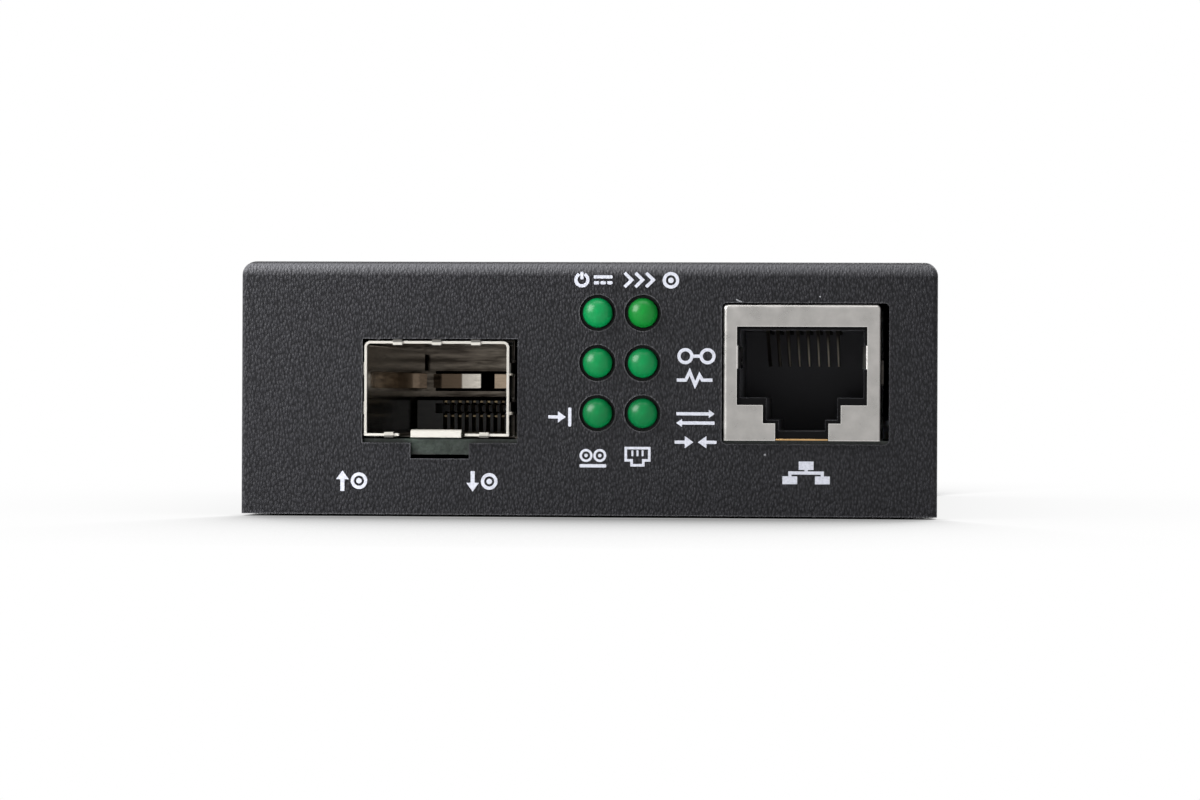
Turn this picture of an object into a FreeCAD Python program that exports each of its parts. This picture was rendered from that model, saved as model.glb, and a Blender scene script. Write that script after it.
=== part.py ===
import FreeCAD, Part
import os

import Sketcher

# Fibre media converter: a folded steel case round one circuit board.
# Front panel, as the user faces it: transceiver cage at the left, six indicator lamps in the middle,
# network jack at the right. The power inlet is in the rear panel.
# Frame: X to the right, Y from the front to the rear, Z up. The origin is the middle of the underside.
# Every length is in millimetres, and angles are in degrees.

SIZES = (
    # Case
    ("case_width", 71.0),
    ("case_depth", 94.0),
    ("case_height", 26.0),
    ("case_sheet", 1.0),
    ("bend_radius", 1.4),
    ("edge_round", 0.5),
    ("case_fit", 0.15),
    ("cover_rise", 0.2),
    ("corner_seam", 0.12),
    ("corner_relief", 0.5),
    ("rear_inset", 0.3),
    ("flange_height", 8.0),
    ("lip_height", 4.0),
    ("tray_notch", 2.4),
    # Air slots in the cover's sides
    ("vent_width", 1.8),
    ("vent_height", 8.0),
    ("vent_pitch", 6.4),
    ("vent_count", 9),
    ("vent_level", 15.6),
    # Screws that hold the cover to the tray
    ("cover_screw_reach", 14.0),
    ("cover_screw_level", 3.9),
    ("cover_screw_head", 2.3),
    ("cover_screw_shank", 1.2),
    ("cover_screw_length", 4.6),
    ("tapped_boss_radius", 2.1),
    ("tapped_boss_length", 1.0),
    ("thread_gap", 0.05),
    ("cross_recess_width", 0.6),
    ("cross_recess_depth", 0.7),
    # Circuit board and its fasteners
    ("standoff_height", 5.3),
    ("standoff_radius", 2.7),
    ("standoff_foot", 2.3),
    ("board_thickness", 1.6),
    ("board_side_gap", 0.5),
    ("board_end_gap", 0.3),
    ("board_corner", 1.0),
    ("board_screw_side", 3.4),
    ("board_screw_front", 21.8),
    ("board_screw_rear", 7.0),
    ("board_screw_shank", 1.45),
    ("board_screw_head", 2.7),
    ("board_screw_head_height", 1.9),
    ("board_screw_length", 5.6),
    ("board_hole_gap", 0.15),
    # Transceiver cage
    ("cage_from_left", 20.15),
    ("cage_width", 14.8),
    ("cage_height", 9.65),
    ("cage_length", 48.7),
    ("cage_sheet", 0.25),
    ("cage_fold", 0.6),
    ("cage_proud", 0.7),
    ("cage_standoff", 0.3),
    ("cage_seam", 0.03),
    ("cage_leg_width", 0.6),
    ("cage_leg_shoulder", 1.4),
    ("cage_leg_first", 9.0),
    ("cage_leg_pitch", 9.2),
    ("cage_leg_count", 5),
    ("leg_reach", 0.6),
    ("cage_cut_side", 0.55),
    ("cage_cut_over", 0.25),
    ("cage_cut_under", 0.7),
    ("cut_shift", 0.25),
    ("latch_notch_width", 6.0),
    ("latch_notch_depth", 1.6),
    ("latch_width", 5.15),
    ("latch_length", 12.5),
    ("latch_slot_left", 3.85),
    ("latch_slot_right", 2.9),
    ("latch_lip_rise", 0.42),
    ("latch_lip_drop", 0.38),
    ("latch_lip_run", 1.5),
    ("latch_eye", 2.6),
    ("latch_eye_back", 4.2),
    ("floor_length", 34.0),
    ("floor_flange_front", 11.0),
    ("floor_flange_height", 2.2),
    ("kicker_level", 6.0),
    ("kicker_height", 1.6),
    ("kicker_gap", 0.8),
    ("kicker_run", 2.2),
    ("kicker_root", 3.2),
    ("cage_window_length", 12.4),
    ("cage_window_height", 2.3),
    ("corner_slot_level", 8.1),
    ("corner_slot_height", 1.85),
    ("corner_slot_run", 2.6),
    ("cage_roof_hole", 1.0),
    ("cage_roof_pitch_x", 3.4),
    ("cage_roof_pitch_y", 3.4),
    ("cage_roof_count_x", 3),
    ("cage_roof_count_y", 3),
    # Spring fingers round the cage's mouth
    ("finger_sheet", 0.12),
    ("finger_gap", 0.02),
    ("finger_width", 0.95),
    ("finger_pitch", 4.0),
    ("finger_side_width", 1.3),
    ("finger_under_pitch", 9.74),
    ("finger_inside", 1.3),
    ("collar_front", 4.2),
    ("collar_width", 1.3),
    # Connector at the back of the cage
    ("host_front", 36.4),
    ("host_width", 13.4),
    ("host_height", 4.25),
    ("host_depth", 9.4),
    ("host_slot_width", 9.4),
    ("host_slot_height", 1.1),
    ("host_slot_level", 2.95),
    ("host_slot_depth", 6.2),
    ("host_channel", 0.46),
    ("host_contact", 0.3),
    ("host_pitch", 0.8),
    ("host_contact_count", 10),
    ("host_contact_sheet", 0.2),
    ("host_tail", 1.1),
    # Network jack
    ("jack_from_right", 13.7),
    ("jack_width", 15.95),
    ("jack_height", 13.8),
    ("jack_length", 18.0),
    ("jack_sheet", 0.25),
    ("jack_fold", 0.45),
    ("jack_proud", 0.6),
    ("jack_cut_side", 0.5),
    ("jack_cut_over", 0.15),
    ("jack_cut_under", 0.35),
    ("jack_cut_shift", 0.33),
    ("jack_mouth_width", 13.2),
    ("jack_mouth_top", 11.55),
    ("jack_ledge_width", 7.9),
    ("jack_ledge_level", 3.6),
    ("jack_key_width", 5.4),
    ("jack_key_level", 1.75),
    ("jack_reveal", 0.35),
    ("jack_ledge_reveal", 0.75),
    ("jack_floor", 1.0),
    ("jack_cavity_depth", 13.0),
    ("jack_insert_gap", 0.05),
    ("jack_spring_height", 2.3),
    ("jack_spring_level", 7.3),
    ("jack_spring_run", 2.6),
    ("jack_spring_lean", 0.5),
    ("jack_tab_width", 1.6),
    ("jack_tab_back", 9.0),
    ("jack_peg_radius", 1.6),
    ("jack_peg_spread", 5.7),
    ("jack_peg_back", 8.8),
    ("wire_width", 0.35),
    ("wire_pitch", 1.016),
    ("wire_count", 8),
    ("wire_channel", 0.5),
    ("wire_sheet", 0.3),
    ("wire_front", 2.2),
    ("wire_tip_back", 9.2),
    ("wire_tip_level", 7.7),
    ("wire_rise", 0.55),
    ("wire_leg_back", 16.6),
    # Indicator lamps and their holder
    ("lamp_from_centre", 0.36),
    ("lamp_pitch_x", 4.6),
    ("lamp_pitch_z", 5.1),
    ("lamp_low_level", 2.7),
    ("lamp_radius", 1.55),
    ("lamp_proud", 1.1),
    ("lamp_rim_radius", 1.95),
    ("lamp_rim", 1.0),
    ("lamp_rim_gap", 0.35),
    ("lamp_hole_gap", 0.3),
    ("lamp_tail", 0.9),
    ("lamp_seat_gap", 0.1),
    ("holder_plate", 2.2),
    ("holder_margin", 0.2),
    ("holder_cheek", 0.5),
    ("holder_depth", 11.0),
    ("lead_size", 0.5),
    ("lead_spread", 1.27),
    ("lead_first", 3.2),
    ("lead_step", 2.0),
    # Power inlet
    ("inlet_from_centre", 14.0),
    ("inlet_width", 9.0),
    ("inlet_height", 11.0),
    ("inlet_length", 14.2),
    ("inlet_level", 6.5),
    ("inlet_bore", 3.15),
    ("inlet_bore_depth", 9.6),
    ("inlet_pin_radius", 1.03),
    ("inlet_pin_length", 8.6),
    ("inlet_panel_gap", 0.1),
    ("inlet_hole_gap", 1.0),
    ("inlet_leg_width", 2.4),
    ("inlet_leg_sheet", 0.5),
    ("inlet_leg_root", 2.0),
    ("inlet_leg_inner", 13.7),
    ("inlet_leg_sleeve", 7.7),
    ("inlet_leg_side", 10.7),
    ("inlet_leaf_rise", 0.35),
    ("inlet_leaf_width", 1.8),
    # Parts soldered to the board
    ("chip_size", 14.0),
    ("chip_height", 1.5),
    ("chip_lead_pitch", 1.27),
    ("chip_lead_count", 10),
    ("package_gap", 0.1),
    ("package_chamfer", 0.25),
    ("package_lead_reach", 1.1),
    ("package_lead_width", 0.4),
    ("package_lead_sheet", 0.18),
    ("chip_right", 10.5),
    ("chip_back", 41.0),
    ("filter_length", 12.6),
    ("filter_width", 7.2),
    ("filter_height", 5.2),
    ("filter_lead_pitch", 1.5),
    ("filter_lead_count", 8),
    ("filter_right", -2.8),
    ("filter_back", 24.4),
    ("can_length", 11.0),
    ("can_width", 4.6),
    ("can_height", 3.5),
    ("can_rim", 0.4),
    ("can_right", 4.0),
    ("can_back", 23.2),
    ("capacitor_bead", 0.6),
    ("large_cap_radius", 4.0),
    ("large_cap_height", 11.0),
    ("large_cap_right", 2.0),
    ("large_cap_front", 9.0),
    ("small_cap_radius", 3.15),
    ("small_cap_height", 7.0),
    ("small_cap_right", -9.5),
    ("small_cap_front", 8.0),
    ("regulator_width", 6.5),
    ("regulator_depth", 3.6),
    ("regulator_height", 1.7),
    ("regulator_lead_pitch", 2.3),
    ("regulator_tab", 3.0),
    ("regulator_right", -18.0),
    ("regulator_front", 17.0),
    ("coil_size", 7.0),
    ("coil_height", 4.2),
    ("coil_radius", 2.9),
    ("coil_gap", 0.5),
    ("coil_right", -6.0),
    ("coil_front", 20.0),
    ("memory_length", 5.0),
    ("memory_width", 3.9),
    ("memory_height", 1.5),
    ("memory_lead_pitch", 1.27),
    ("memory_lead_count", 4),
    ("memory_right", 5.85),
    ("memory_back", 40.0),
    ("small_part_length", 1.6),
    ("small_part_width", 0.8),
    ("small_part_height", 0.5),
    ("small_part_pitch", 2.6),
    ("resistor_right", -9.85),
    ("resistor_back", 52.0),
    ("resistor_columns", 3),
    ("resistor_rows", 4),
    ("decoupler_right", 2.85),
    ("decoupler_back", 48.0),
    ("decoupler_columns", 2),
    ("decoupler_rows", 3),
)

LAMPS = (
    ("lamp_power", 0, 2),
    ("lamp_speed", 1, 2),
    ("lamp_fibre_link", 0, 1),
    ("lamp_copper_link", 1, 1),
    ("lamp_fibre_signal", 0, 0),
    ("lamp_copper_duplex", 1, 0),
)

LAMP_ROWS = 3
TINY = 1e-3
KNEE_RUN_SHARE = 0.6
CRIMP_SHARE = 0.93
HEXAGON_CORNER = 2 / 3**0.5
COUNTERSINK = -45
HEAD_CHAMFER_SHARE = 1 / 3
CROSS_SHARE = 0.55
CREST_SHARE = 0.25
LIP_THINNING = 0.4
SWELL_SHARE = 0.55
SWELL_FRONT_SHARE = 0.3
HOST_CHAMFER_SHARE = 0.1
HOST_ROOF_SHARE = 0.12
HOST_LEDGE_SHARE = 0.55
STRIP_START_SHARE = 0.2
STRIP_END_SHARE = 0.6
STRIP_ROOM = 1.5
INLET_CHAMFER_SHARE = 1 / 6
COIL_CORNER_SHARE = 0.2

doc = FreeCAD.newDocument("media_converter")
sheet = doc.addObject("Spreadsheet::Sheet", "Sizes")
nodes = []


class Size:
    """A length from the sheet, or one worked out from others: its value, and the expression that gives it."""

    def __init__(self, value, text):
        self.value = float(value)
        self.text = text

    def __add__(self, other):
        other = as_size(other)
        return Size(self.value + other.value, f"({self.text} + {other.text})")

    def __sub__(self, other):
        other = as_size(other)
        return Size(self.value - other.value, f"({self.text} - {other.text})")

    def __mul__(self, other):
        other = as_size(other)
        return Size(self.value * other.value, f"({self.text} * {other.text})")

    def __truediv__(self, other):
        other = as_size(other)
        return Size(self.value / other.value, f"({self.text} / {other.text})")

    def __radd__(self, other):
        return as_size(other) + self

    def __rsub__(self, other):
        return as_size(other) - self

    def __rmul__(self, other):
        return as_size(other) * self

    def __neg__(self):
        return Size(-self.value, f"(0 - {self.text})")


def as_size(number):
    """The number as a Size, so that plain numbers and named ones mix."""
    return number if isinstance(number, Size) else Size(number, f"({float(number)})")


def fill_sheet():
    """Writes the sizes into the sheet and returns them by name."""
    named = {}
    for row, (alias, value) in enumerate(SIZES, start=1):
        sheet.set(f"A{row}", alias)
        sheet.set(f"B{row}", str(value))
        sheet.setAlias(f"B{row}", alias)
        named[alias] = Size(value, f"Sizes.{alias}")
    doc.recompute()
    return named


S = fill_sheet()


def bind(thing, path, size):
    """Ties a property to the sheet."""
    thing.setExpression(path, as_size(size).text)


def new_body(label):
    """An empty body whose label names its file."""
    body = doc.addObject("PartDesign::Body", label)
    body.Label = label
    nodes.append(body)
    return body


def origin_plane(body, role):
    """One of the body's own origin planes."""
    return next(feature for feature in body.Origin.OriginFeatures if feature.Role == role)


def new_sketch(body, role, along=0, right=0, up=0):
    """A sketch on an origin plane, moved along the plane's normal and within it.

    Normals: XY_Plane +Z, XZ_Plane -Y with X and Z across it, YZ_Plane +X with Y and Z across it."""
    sketch = body.newObject("Sketcher::SketchObject", f"{body.Label}_sketch")
    sketch.AttachmentSupport = [(origin_plane(body, role), "")]
    sketch.MapMode = "FlatFace"
    bind(sketch, "AttachmentOffset.Base.x", right)
    bind(sketch, "AttachmentOffset.Base.y", up)
    bind(sketch, "AttachmentOffset.Base.z", along)
    return sketch


def pin_point(sketch, edge, point, x, y):
    """Holds one end of an edge, or a centre, at a place given by sizes."""
    for kind, size in (("DistanceX", as_size(x)), ("DistanceY", as_size(y))):
        index = sketch.addConstraint(Sketcher.Constraint(kind, -1, 1, edge, point, size.value))
        sketch.setExpression(f"Constraints[{index}]", size.text)


def outline(sketch, points):
    """A closed outline of straight lines through points given by sizes."""
    places = [FreeCAD.Vector(as_size(x).value, as_size(y).value, 0) for x, y in points]
    first = sketch.GeometryCount
    count = len(places)
    for i in range(count):
        sketch.addGeometry(Part.LineSegment(places[i], places[(i + 1) % count]))
    for i in range(count):
        following = first + (i + 1) % count
        sketch.addConstraint(Sketcher.Constraint("Coincident", first + i, 2, following, 1))
    for i, (x, y) in enumerate(points):
        pin_point(sketch, first + i, 1, x, y)


def rectangle(sketch, left, low, right, high):
    """An upright rectangle between two corners."""
    outline(sketch, [(left, low), (right, low), (right, high), (left, high)])


def circle(sketch, x, y, radius):
    """A circle with its centre and radius given by sizes."""
    centre = FreeCAD.Vector(as_size(x).value, as_size(y).value, 0)
    edge = sketch.addGeometry(Part.Circle(centre, FreeCAD.Vector(0, 0, 1), as_size(radius).value))
    index = sketch.addConstraint(Sketcher.Constraint("Radius", edge, as_size(radius).value))
    sketch.setExpression(f"Constraints[{index}]", as_size(radius).text)
    pin_point(sketch, edge, 3, x, y)


def feature_of(body, kind, profile, length, reverse=False, both_ways=False, taper=0):
    """A pad or a pocket of a sketch."""
    made = body.newObject(f"PartDesign::{kind}", f"{body.Label}_{kind.lower()}")
    made.Profile = profile
    bind(made, "Length", length)
    made.Reversed = reverse
    made.Midplane = both_ways
    made.TaperAngle = taper
    doc.recompute()
    return made


def pad(body, profile, length, reverse=False, both_ways=False):
    """Material along the sketch's normal."""
    return feature_of(body, "Pad", profile, length, reverse, both_ways)


def pocket(body, profile, length, reverse=False, both_ways=False, taper=0):
    """A cut against the sketch's normal. It fails if it takes nothing away."""
    before = body.Shape.Volume
    cut = feature_of(body, "Pocket", profile, length, reverse, both_ways, taper)
    if body.Shape.Volume > before - TINY * TINY:
        raise RuntimeError(f"{cut.Label} cuts nothing")
    return cut


def turned(body, kind, profile, axis):
    """A revolution or a groove about one of the sketch's own axes."""
    made = body.newObject(f"PartDesign::{kind}", f"{body.Label}_{kind.lower()}")
    made.Profile = profile
    made.ReferenceAxis = (profile, [axis])
    made.Angle = 360
    doc.recompute()
    return made


def edges_where(shape, test):
    """The names of the edges whose middle and span pass the test."""
    found = []
    for i, edge in enumerate(shape.Edges, start=1):
        if test(edge.CenterOfMass, edge.BoundBox):
            found.append(f"Edge{i}")
    return found


def round_edges(body, base, radius, test, kind="Fillet"):
    """A fillet or chamfer on the edges that pass the test."""
    names = edges_where(base.Shape, test)
    if not names:
        raise RuntimeError(f"{body.Label} has no edge to round")
    made = body.newObject(f"PartDesign::{kind}", f"{body.Label}_{kind.lower()}")
    made.Base = (base, names)
    bind(made, "Radius" if kind == "Fillet" else "Size", radius)
    doc.recompute()
    return made


def repeat(body, sources, profile, axis, pitch, count, second=None):
    """A linear pattern along a sketch's axis, or a grid where second gives another axis, pitch and count."""
    made = body.newObject("PartDesign::LinearPattern", f"{body.Label}_pattern")
    made.Originals = sources
    made.Direction = (profile, [axis])
    made.Mode = "Spacing"
    bind(made, "Offset", pitch)
    bind(made, "Occurrences", count)
    if second:
        second_axis, second_pitch, second_count = second
        made.Direction2 = (profile, [second_axis])
        made.Mode2 = "Spacing"
        bind(made, "Offset2", second_pitch)
        bind(made, "Occurrences2", second_count)
        made.Spacings2 = [-1.0]
    body.Tip = made
    doc.recompute()
    return made


def near(a, b):
    """Whether two lengths are the same, for picking edges."""
    b = b.value if isinstance(b, Size) else b
    return abs(a - b) < TINY


# Places that several pieces share
FRONT = -S["case_depth"] / 2
REAR = S["case_depth"] / 2
PANEL_BACK = FRONT + S["case_sheet"]
REAR_FACE = REAR - S["rear_inset"]
REAR_PANEL_FRONT = REAR_FACE - S["case_sheet"]
TRAY_HALF = S["case_width"] / 2 - S["case_sheet"] - S["case_fit"]
TRAY_FRONT = PANEL_BACK + S["case_fit"]
BOARD_HALF = TRAY_HALF - S["case_sheet"] - S["board_side_gap"]
BOARD_FRONT = PANEL_BACK + S["board_end_gap"]
BOARD_REAR = REAR_PANEL_FRONT - S["board_end_gap"]
BOARD_LOW = S["case_sheet"] + S["standoff_height"]
BOARD_TOP = BOARD_LOW + S["board_thickness"]
BOARD_SCREW_X = BOARD_HALF - S["board_screw_side"]
BOARD_SCREW_Y = BOARD_FRONT + S["board_screw_front"]
BOARD_SCREW_RUN = BOARD_REAR - S["board_screw_rear"] - BOARD_SCREW_Y
CAGE_X = -S["case_width"] / 2 + S["cage_from_left"]
CAGE_HALF = S["cage_width"] / 2
CAGE_FRONT = FRONT - S["cage_proud"]
CAGE_REAR = CAGE_FRONT + S["cage_length"]
CAGE_LOW = BOARD_TOP + S["cage_standoff"]
CAGE_TOP = CAGE_LOW + S["cage_height"]
CAGE_INNER = CAGE_HALF - S["cage_sheet"]
CAGE_WALL_LOW = CAGE_LOW + S["cage_sheet"] + S["cage_seam"]
HOST_FRONT = CAGE_FRONT + S["host_front"]
JACK_X = S["case_width"] / 2 - S["jack_from_right"]
JACK_HALF = S["jack_width"] / 2
JACK_FRONT = FRONT - S["jack_proud"]
JACK_REAR = JACK_FRONT + S["jack_length"]
JACK_TOP = BOARD_TOP + S["jack_height"]
LAMP_GAP_MIDDLE = (CAGE_X + CAGE_HALF + JACK_X - JACK_HALF) / 2
LAMP_LEFT = LAMP_GAP_MIDDLE + S["lamp_from_centre"] - S["lamp_pitch_x"] / 2
LAMP_LOW = BOARD_TOP + S["lamp_low_level"]
LAMP_RIM_BACK = PANEL_BACK + S["lamp_rim_gap"] + S["lamp_rim"]
HOLDER_FRONT = LAMP_RIM_BACK
HOLDER_BACK = HOLDER_FRONT + S["holder_plate"]
INLET_REAR = REAR_PANEL_FRONT - S["inlet_panel_gap"]
INLET_Z = BOARD_TOP + S["inlet_level"]
COVER_SCREW_Y = REAR - S["cover_screw_reach"]


def cage_cut_out():
    """The panel's opening round the cage, with the notch below it that the latch drops into."""
    middle = CAGE_X + S["cut_shift"]
    left = middle - CAGE_HALF - S["cage_cut_side"]
    right = middle + CAGE_HALF + S["cage_cut_side"]
    low = CAGE_LOW - S["cage_cut_under"]
    high = CAGE_TOP + S["cage_cut_over"]
    notch_left = middle - S["latch_notch_width"] / 2
    notch_right = middle + S["latch_notch_width"] / 2
    notch_low = low - S["latch_notch_depth"]
    return [
        (left, low),
        (notch_left, low),
        (notch_left, notch_low),
        (notch_right, notch_low),
        (notch_right, low),
        (right, low),
        (right, high),
        (left, high),
    ]


def cut_front_openings(body):
    """The openings for the cage, the jack and the lamps."""
    depth = 2 * S["case_sheet"]
    face = new_sketch(body, "XZ_Plane", -FRONT)
    outline(face, cage_cut_out())
    pocket(body, face, depth)
    jack = new_sketch(body, "XZ_Plane", -FRONT)
    reach = JACK_HALF + S["jack_cut_side"]
    middle = JACK_X + S["jack_cut_shift"]
    low = BOARD_TOP - S["jack_cut_under"]
    rectangle(jack, middle - reach, low, middle + reach, JACK_TOP + S["jack_cut_over"])
    jack_cut = pocket(body, jack, depth)
    corner = S["edge_round"]
    round_edges(
        body,
        jack_cut,
        corner,
        lambda at, span: near(span.YLength, S["case_sheet"])
        and span.XLength < TINY
        and span.ZLength < TINY
        and abs(at.x - middle.value) < reach.value + TINY
        and at.x > 0
        and BOARD_TOP.value - 1 < at.z < S["case_height"].value - 1,
    )
    lamp = new_sketch(body, "XZ_Plane", -FRONT)
    circle(lamp, LAMP_LEFT, LAMP_LOW, S["lamp_radius"] + S["lamp_hole_gap"])
    hole = pocket(body, lamp, depth)
    repeat(body, [hole], lamp, "H_Axis", S["lamp_pitch_x"], 2, ("V_Axis", S["lamp_pitch_z"], 3))


def slot_outline(sketch, x, y, width, height):
    """An upright slot with round ends: a rectangle between two half circles."""
    reach = width / 2
    top = y + height / 2 - reach
    low = y - height / 2 + reach
    left, right = x - reach, x + reach
    points = [(left, low), (right, low), (right, top), (left, top)]
    places = [FreeCAD.Vector(as_size(a).value, as_size(b).value, 0) for a, b in points]
    middle_low = FreeCAD.Vector(x.value, (low - reach).value, 0)
    middle_top = FreeCAD.Vector(x.value, (top + reach).value, 0)
    sketch.addGeometry(Part.Arc(places[0], middle_low, places[1]))
    sketch.addGeometry(Part.LineSegment(places[1], places[2]))
    sketch.addGeometry(Part.Arc(places[2], middle_top, places[3]))
    sketch.addGeometry(Part.LineSegment(places[3], places[0]))
    sketch.addConstraint(Sketcher.Constraint("Coincident", 0, 2, 1, 1))
    sketch.addConstraint(Sketcher.Constraint("Coincident", 1, 2, 2, 1))
    sketch.addConstraint(Sketcher.Constraint("Coincident", 2, 2, 3, 1))
    sketch.addConstraint(Sketcher.Constraint("Coincident", 3, 2, 0, 1))
    pin_point(sketch, 1, 1, right, low)
    pin_point(sketch, 2, 1, right, top)
    pin_point(sketch, 3, 1, left, top)
    pin_point(sketch, 0, 1, left, low)
    for arc, level in ((0, low), (2, top)):
        index = sketch.addConstraint(Sketcher.Constraint("DistanceY", -1, 1, arc, 3, level.value))
        sketch.setExpression(f"Constraints[{index}]", level.text)


def cut_vents(body):
    """A row of air slots, cut through both side walls at once."""
    face = new_sketch(body, "YZ_Plane")
    first = -(S["vent_count"] - 1) * S["vent_pitch"] / 2
    slot_outline(face, first, S["vent_level"], S["vent_width"], S["vent_height"])
    slot = pocket(body, face, S["case_width"] * 2, both_ways=True)
    repeat(body, [slot], face, "H_Axis", S["vent_pitch"], S["vent_count"])


def cut_screw_seats(body):
    """Countersunk holes through the side walls."""
    depth = S["case_sheet"]
    for side, reverse in ((1, False), (-1, True)):
        for end in (-1, 1):
            face = new_sketch(body, "YZ_Plane", side * S["case_width"] / 2)
            circle(face, end * COVER_SCREW_Y, S["cover_screw_level"], S["cover_screw_head"])
            pocket(body, face, depth, reverse=reverse, taper=COUNTERSINK)


def make_cover_shell():
    """Top, front panel and side walls, folded from one sheet, open below and behind."""
    body = new_body("cover_shell")
    half, wall = S["case_width"] / 2, S["case_sheet"]
    height = S["case_height"] - S["cover_rise"]
    plan = new_sketch(body, "XY_Plane", S["cover_rise"])
    rectangle(plan, -half, FRONT, half, REAR)
    blank = pad(body, plan, height)
    folds = round_edges(
        body, blank, S["bend_radius"], lambda at, span: near(at.z, S["case_height"]) and at.y < REAR.value - 1
    )
    round_edges(
        body,
        folds,
        S["edge_round"],
        lambda at, span: near(at.y, FRONT) and near(abs(at.x), half) and span.ZLength > 1,
    )
    inner = new_sketch(body, "XY_Plane", S["cover_rise"])
    rectangle(inner, wall - half, PANEL_BACK, half - wall, REAR + wall)
    hollow = pocket(body, inner, height - wall, reverse=True)
    ceiling = S["case_height"] - wall
    round_edges(
        body,
        hollow,
        S["bend_radius"] - wall,
        lambda at, span: near(at.z, ceiling) and at.y < REAR.value - 1 and abs(at.x) < half.value,
    )
    seam = new_sketch(body, "YZ_Plane")
    top = S["case_height"] - S["bend_radius"] - S["corner_relief"]
    rectangle(seam, PANEL_BACK, 0, PANEL_BACK + S["corner_seam"], top)
    pocket(body, seam, S["case_width"] * 2, both_ways=True)
    relief = new_sketch(body, "YZ_Plane")
    circle(relief, PANEL_BACK + S["corner_relief"], top, S["corner_relief"])
    pocket(body, relief, S["case_width"] * 2, both_ways=True)
    cut_front_openings(body)
    cut_vents(body)
    cut_screw_seats(body)


def make_base_tray():
    """Floor, rear panel, side flanges and front lip, folded from one sheet."""
    body = new_body("base_tray")
    wall, notch, half = S["case_sheet"], S["tray_notch"], TRAY_HALF
    plan = new_sketch(body, "XY_Plane")
    outline(
        plan,
        [
            (notch - half, TRAY_FRONT),
            (half - notch, TRAY_FRONT),
            (half - notch, TRAY_FRONT + notch),
            (half, TRAY_FRONT + notch),
            (half, REAR_FACE - notch),
            (half - notch, REAR_FACE - notch),
            (half - notch, REAR_FACE),
            (notch - half, REAR_FACE),
            (notch - half, REAR_FACE - notch),
            (-half, REAR_FACE - notch),
            (-half, TRAY_FRONT + notch),
            (notch - half, TRAY_FRONT + notch),
        ],
    )
    pad(body, plan, wall)
    back = new_sketch(body, "XZ_Plane", -REAR_FACE)
    panel_top = S["case_height"] - wall - S["case_fit"]
    outline(
        back,
        [
            (notch - half, 0),
            (half - notch, 0),
            (half - notch, notch),
            (half, notch),
            (half, panel_top),
            (-half, panel_top),
            (-half, notch),
            (notch - half, notch),
        ],
    )
    pad(body, back, wall)
    lip = new_sketch(body, "XZ_Plane", -TRAY_FRONT)
    rectangle(lip, notch - half, 0, half - notch, S["lip_height"])
    pad(body, lip, wall, reverse=True)
    sides = []
    for side, reverse in ((1, True), (-1, False)):
        flange = new_sketch(body, "YZ_Plane", side * half)
        rectangle(flange, TRAY_FRONT + notch, 0, REAR_FACE - notch, S["flange_height"])
        sides.append(pad(body, flange, wall, reverse=reverse))
        for end in (-1, 1):
            boss = new_sketch(body, "YZ_Plane", side * (half - wall))
            circle(boss, end * COVER_SCREW_Y, S["cover_screw_level"], S["tapped_boss_radius"])
            pad(body, boss, S["tapped_boss_length"], reverse=reverse)
    outer = round_edges(
        body,
        body.Tip,
        S["bend_radius"],
        lambda at, span: near(at.z, 0)
        and max(span.XLength, span.YLength) > S["case_depth"].value / 2
        and (near(abs(at.x), half) or near(at.y, TRAY_FRONT) or near(at.y, REAR_FACE)),
    )
    round_edges(
        body,
        outer,
        S["bend_radius"] - wall,
        lambda at, span: near(at.z, wall)
        and max(span.XLength, span.YLength) > S["case_depth"].value / 2
        and (
            near(abs(at.x), half - wall)
            or near(at.y, TRAY_FRONT + wall)
            or near(at.y, REAR_FACE - wall)
        ),
    )
    for end in (-1, 1):
        tapped = new_sketch(body, "YZ_Plane")
        radius = S["cover_screw_shank"] + S["thread_gap"]
        circle(tapped, end * COVER_SCREW_Y, S["cover_screw_level"], radius)
        pocket(body, tapped, S["case_width"] * 2, both_ways=True)
    rivet = new_sketch(body, "XY_Plane", wall)
    circle(rivet, -BOARD_SCREW_X, BOARD_SCREW_Y, S["standoff_foot"])
    hole = pocket(body, rivet, wall)
    repeat(body, [hole], rivet, "H_Axis", 2 * BOARD_SCREW_X, 2, ("V_Axis", BOARD_SCREW_RUN, 2))
    inlet = new_sketch(body, "XZ_Plane", -REAR_FACE)
    circle(inlet, S["inlet_from_centre"], INLET_Z, S["inlet_bore"] + S["inlet_hole_gap"])
    pocket(body, inlet, wall, reverse=True)


def four_by_grid(body, sources, profile):
    """The board's four fixing points, from the one at the front left."""
    run = ("V_Axis", BOARD_SCREW_RUN, 2)
    repeat(body, sources, profile, "H_Axis", 2 * BOARD_SCREW_X, 2, run)


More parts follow.
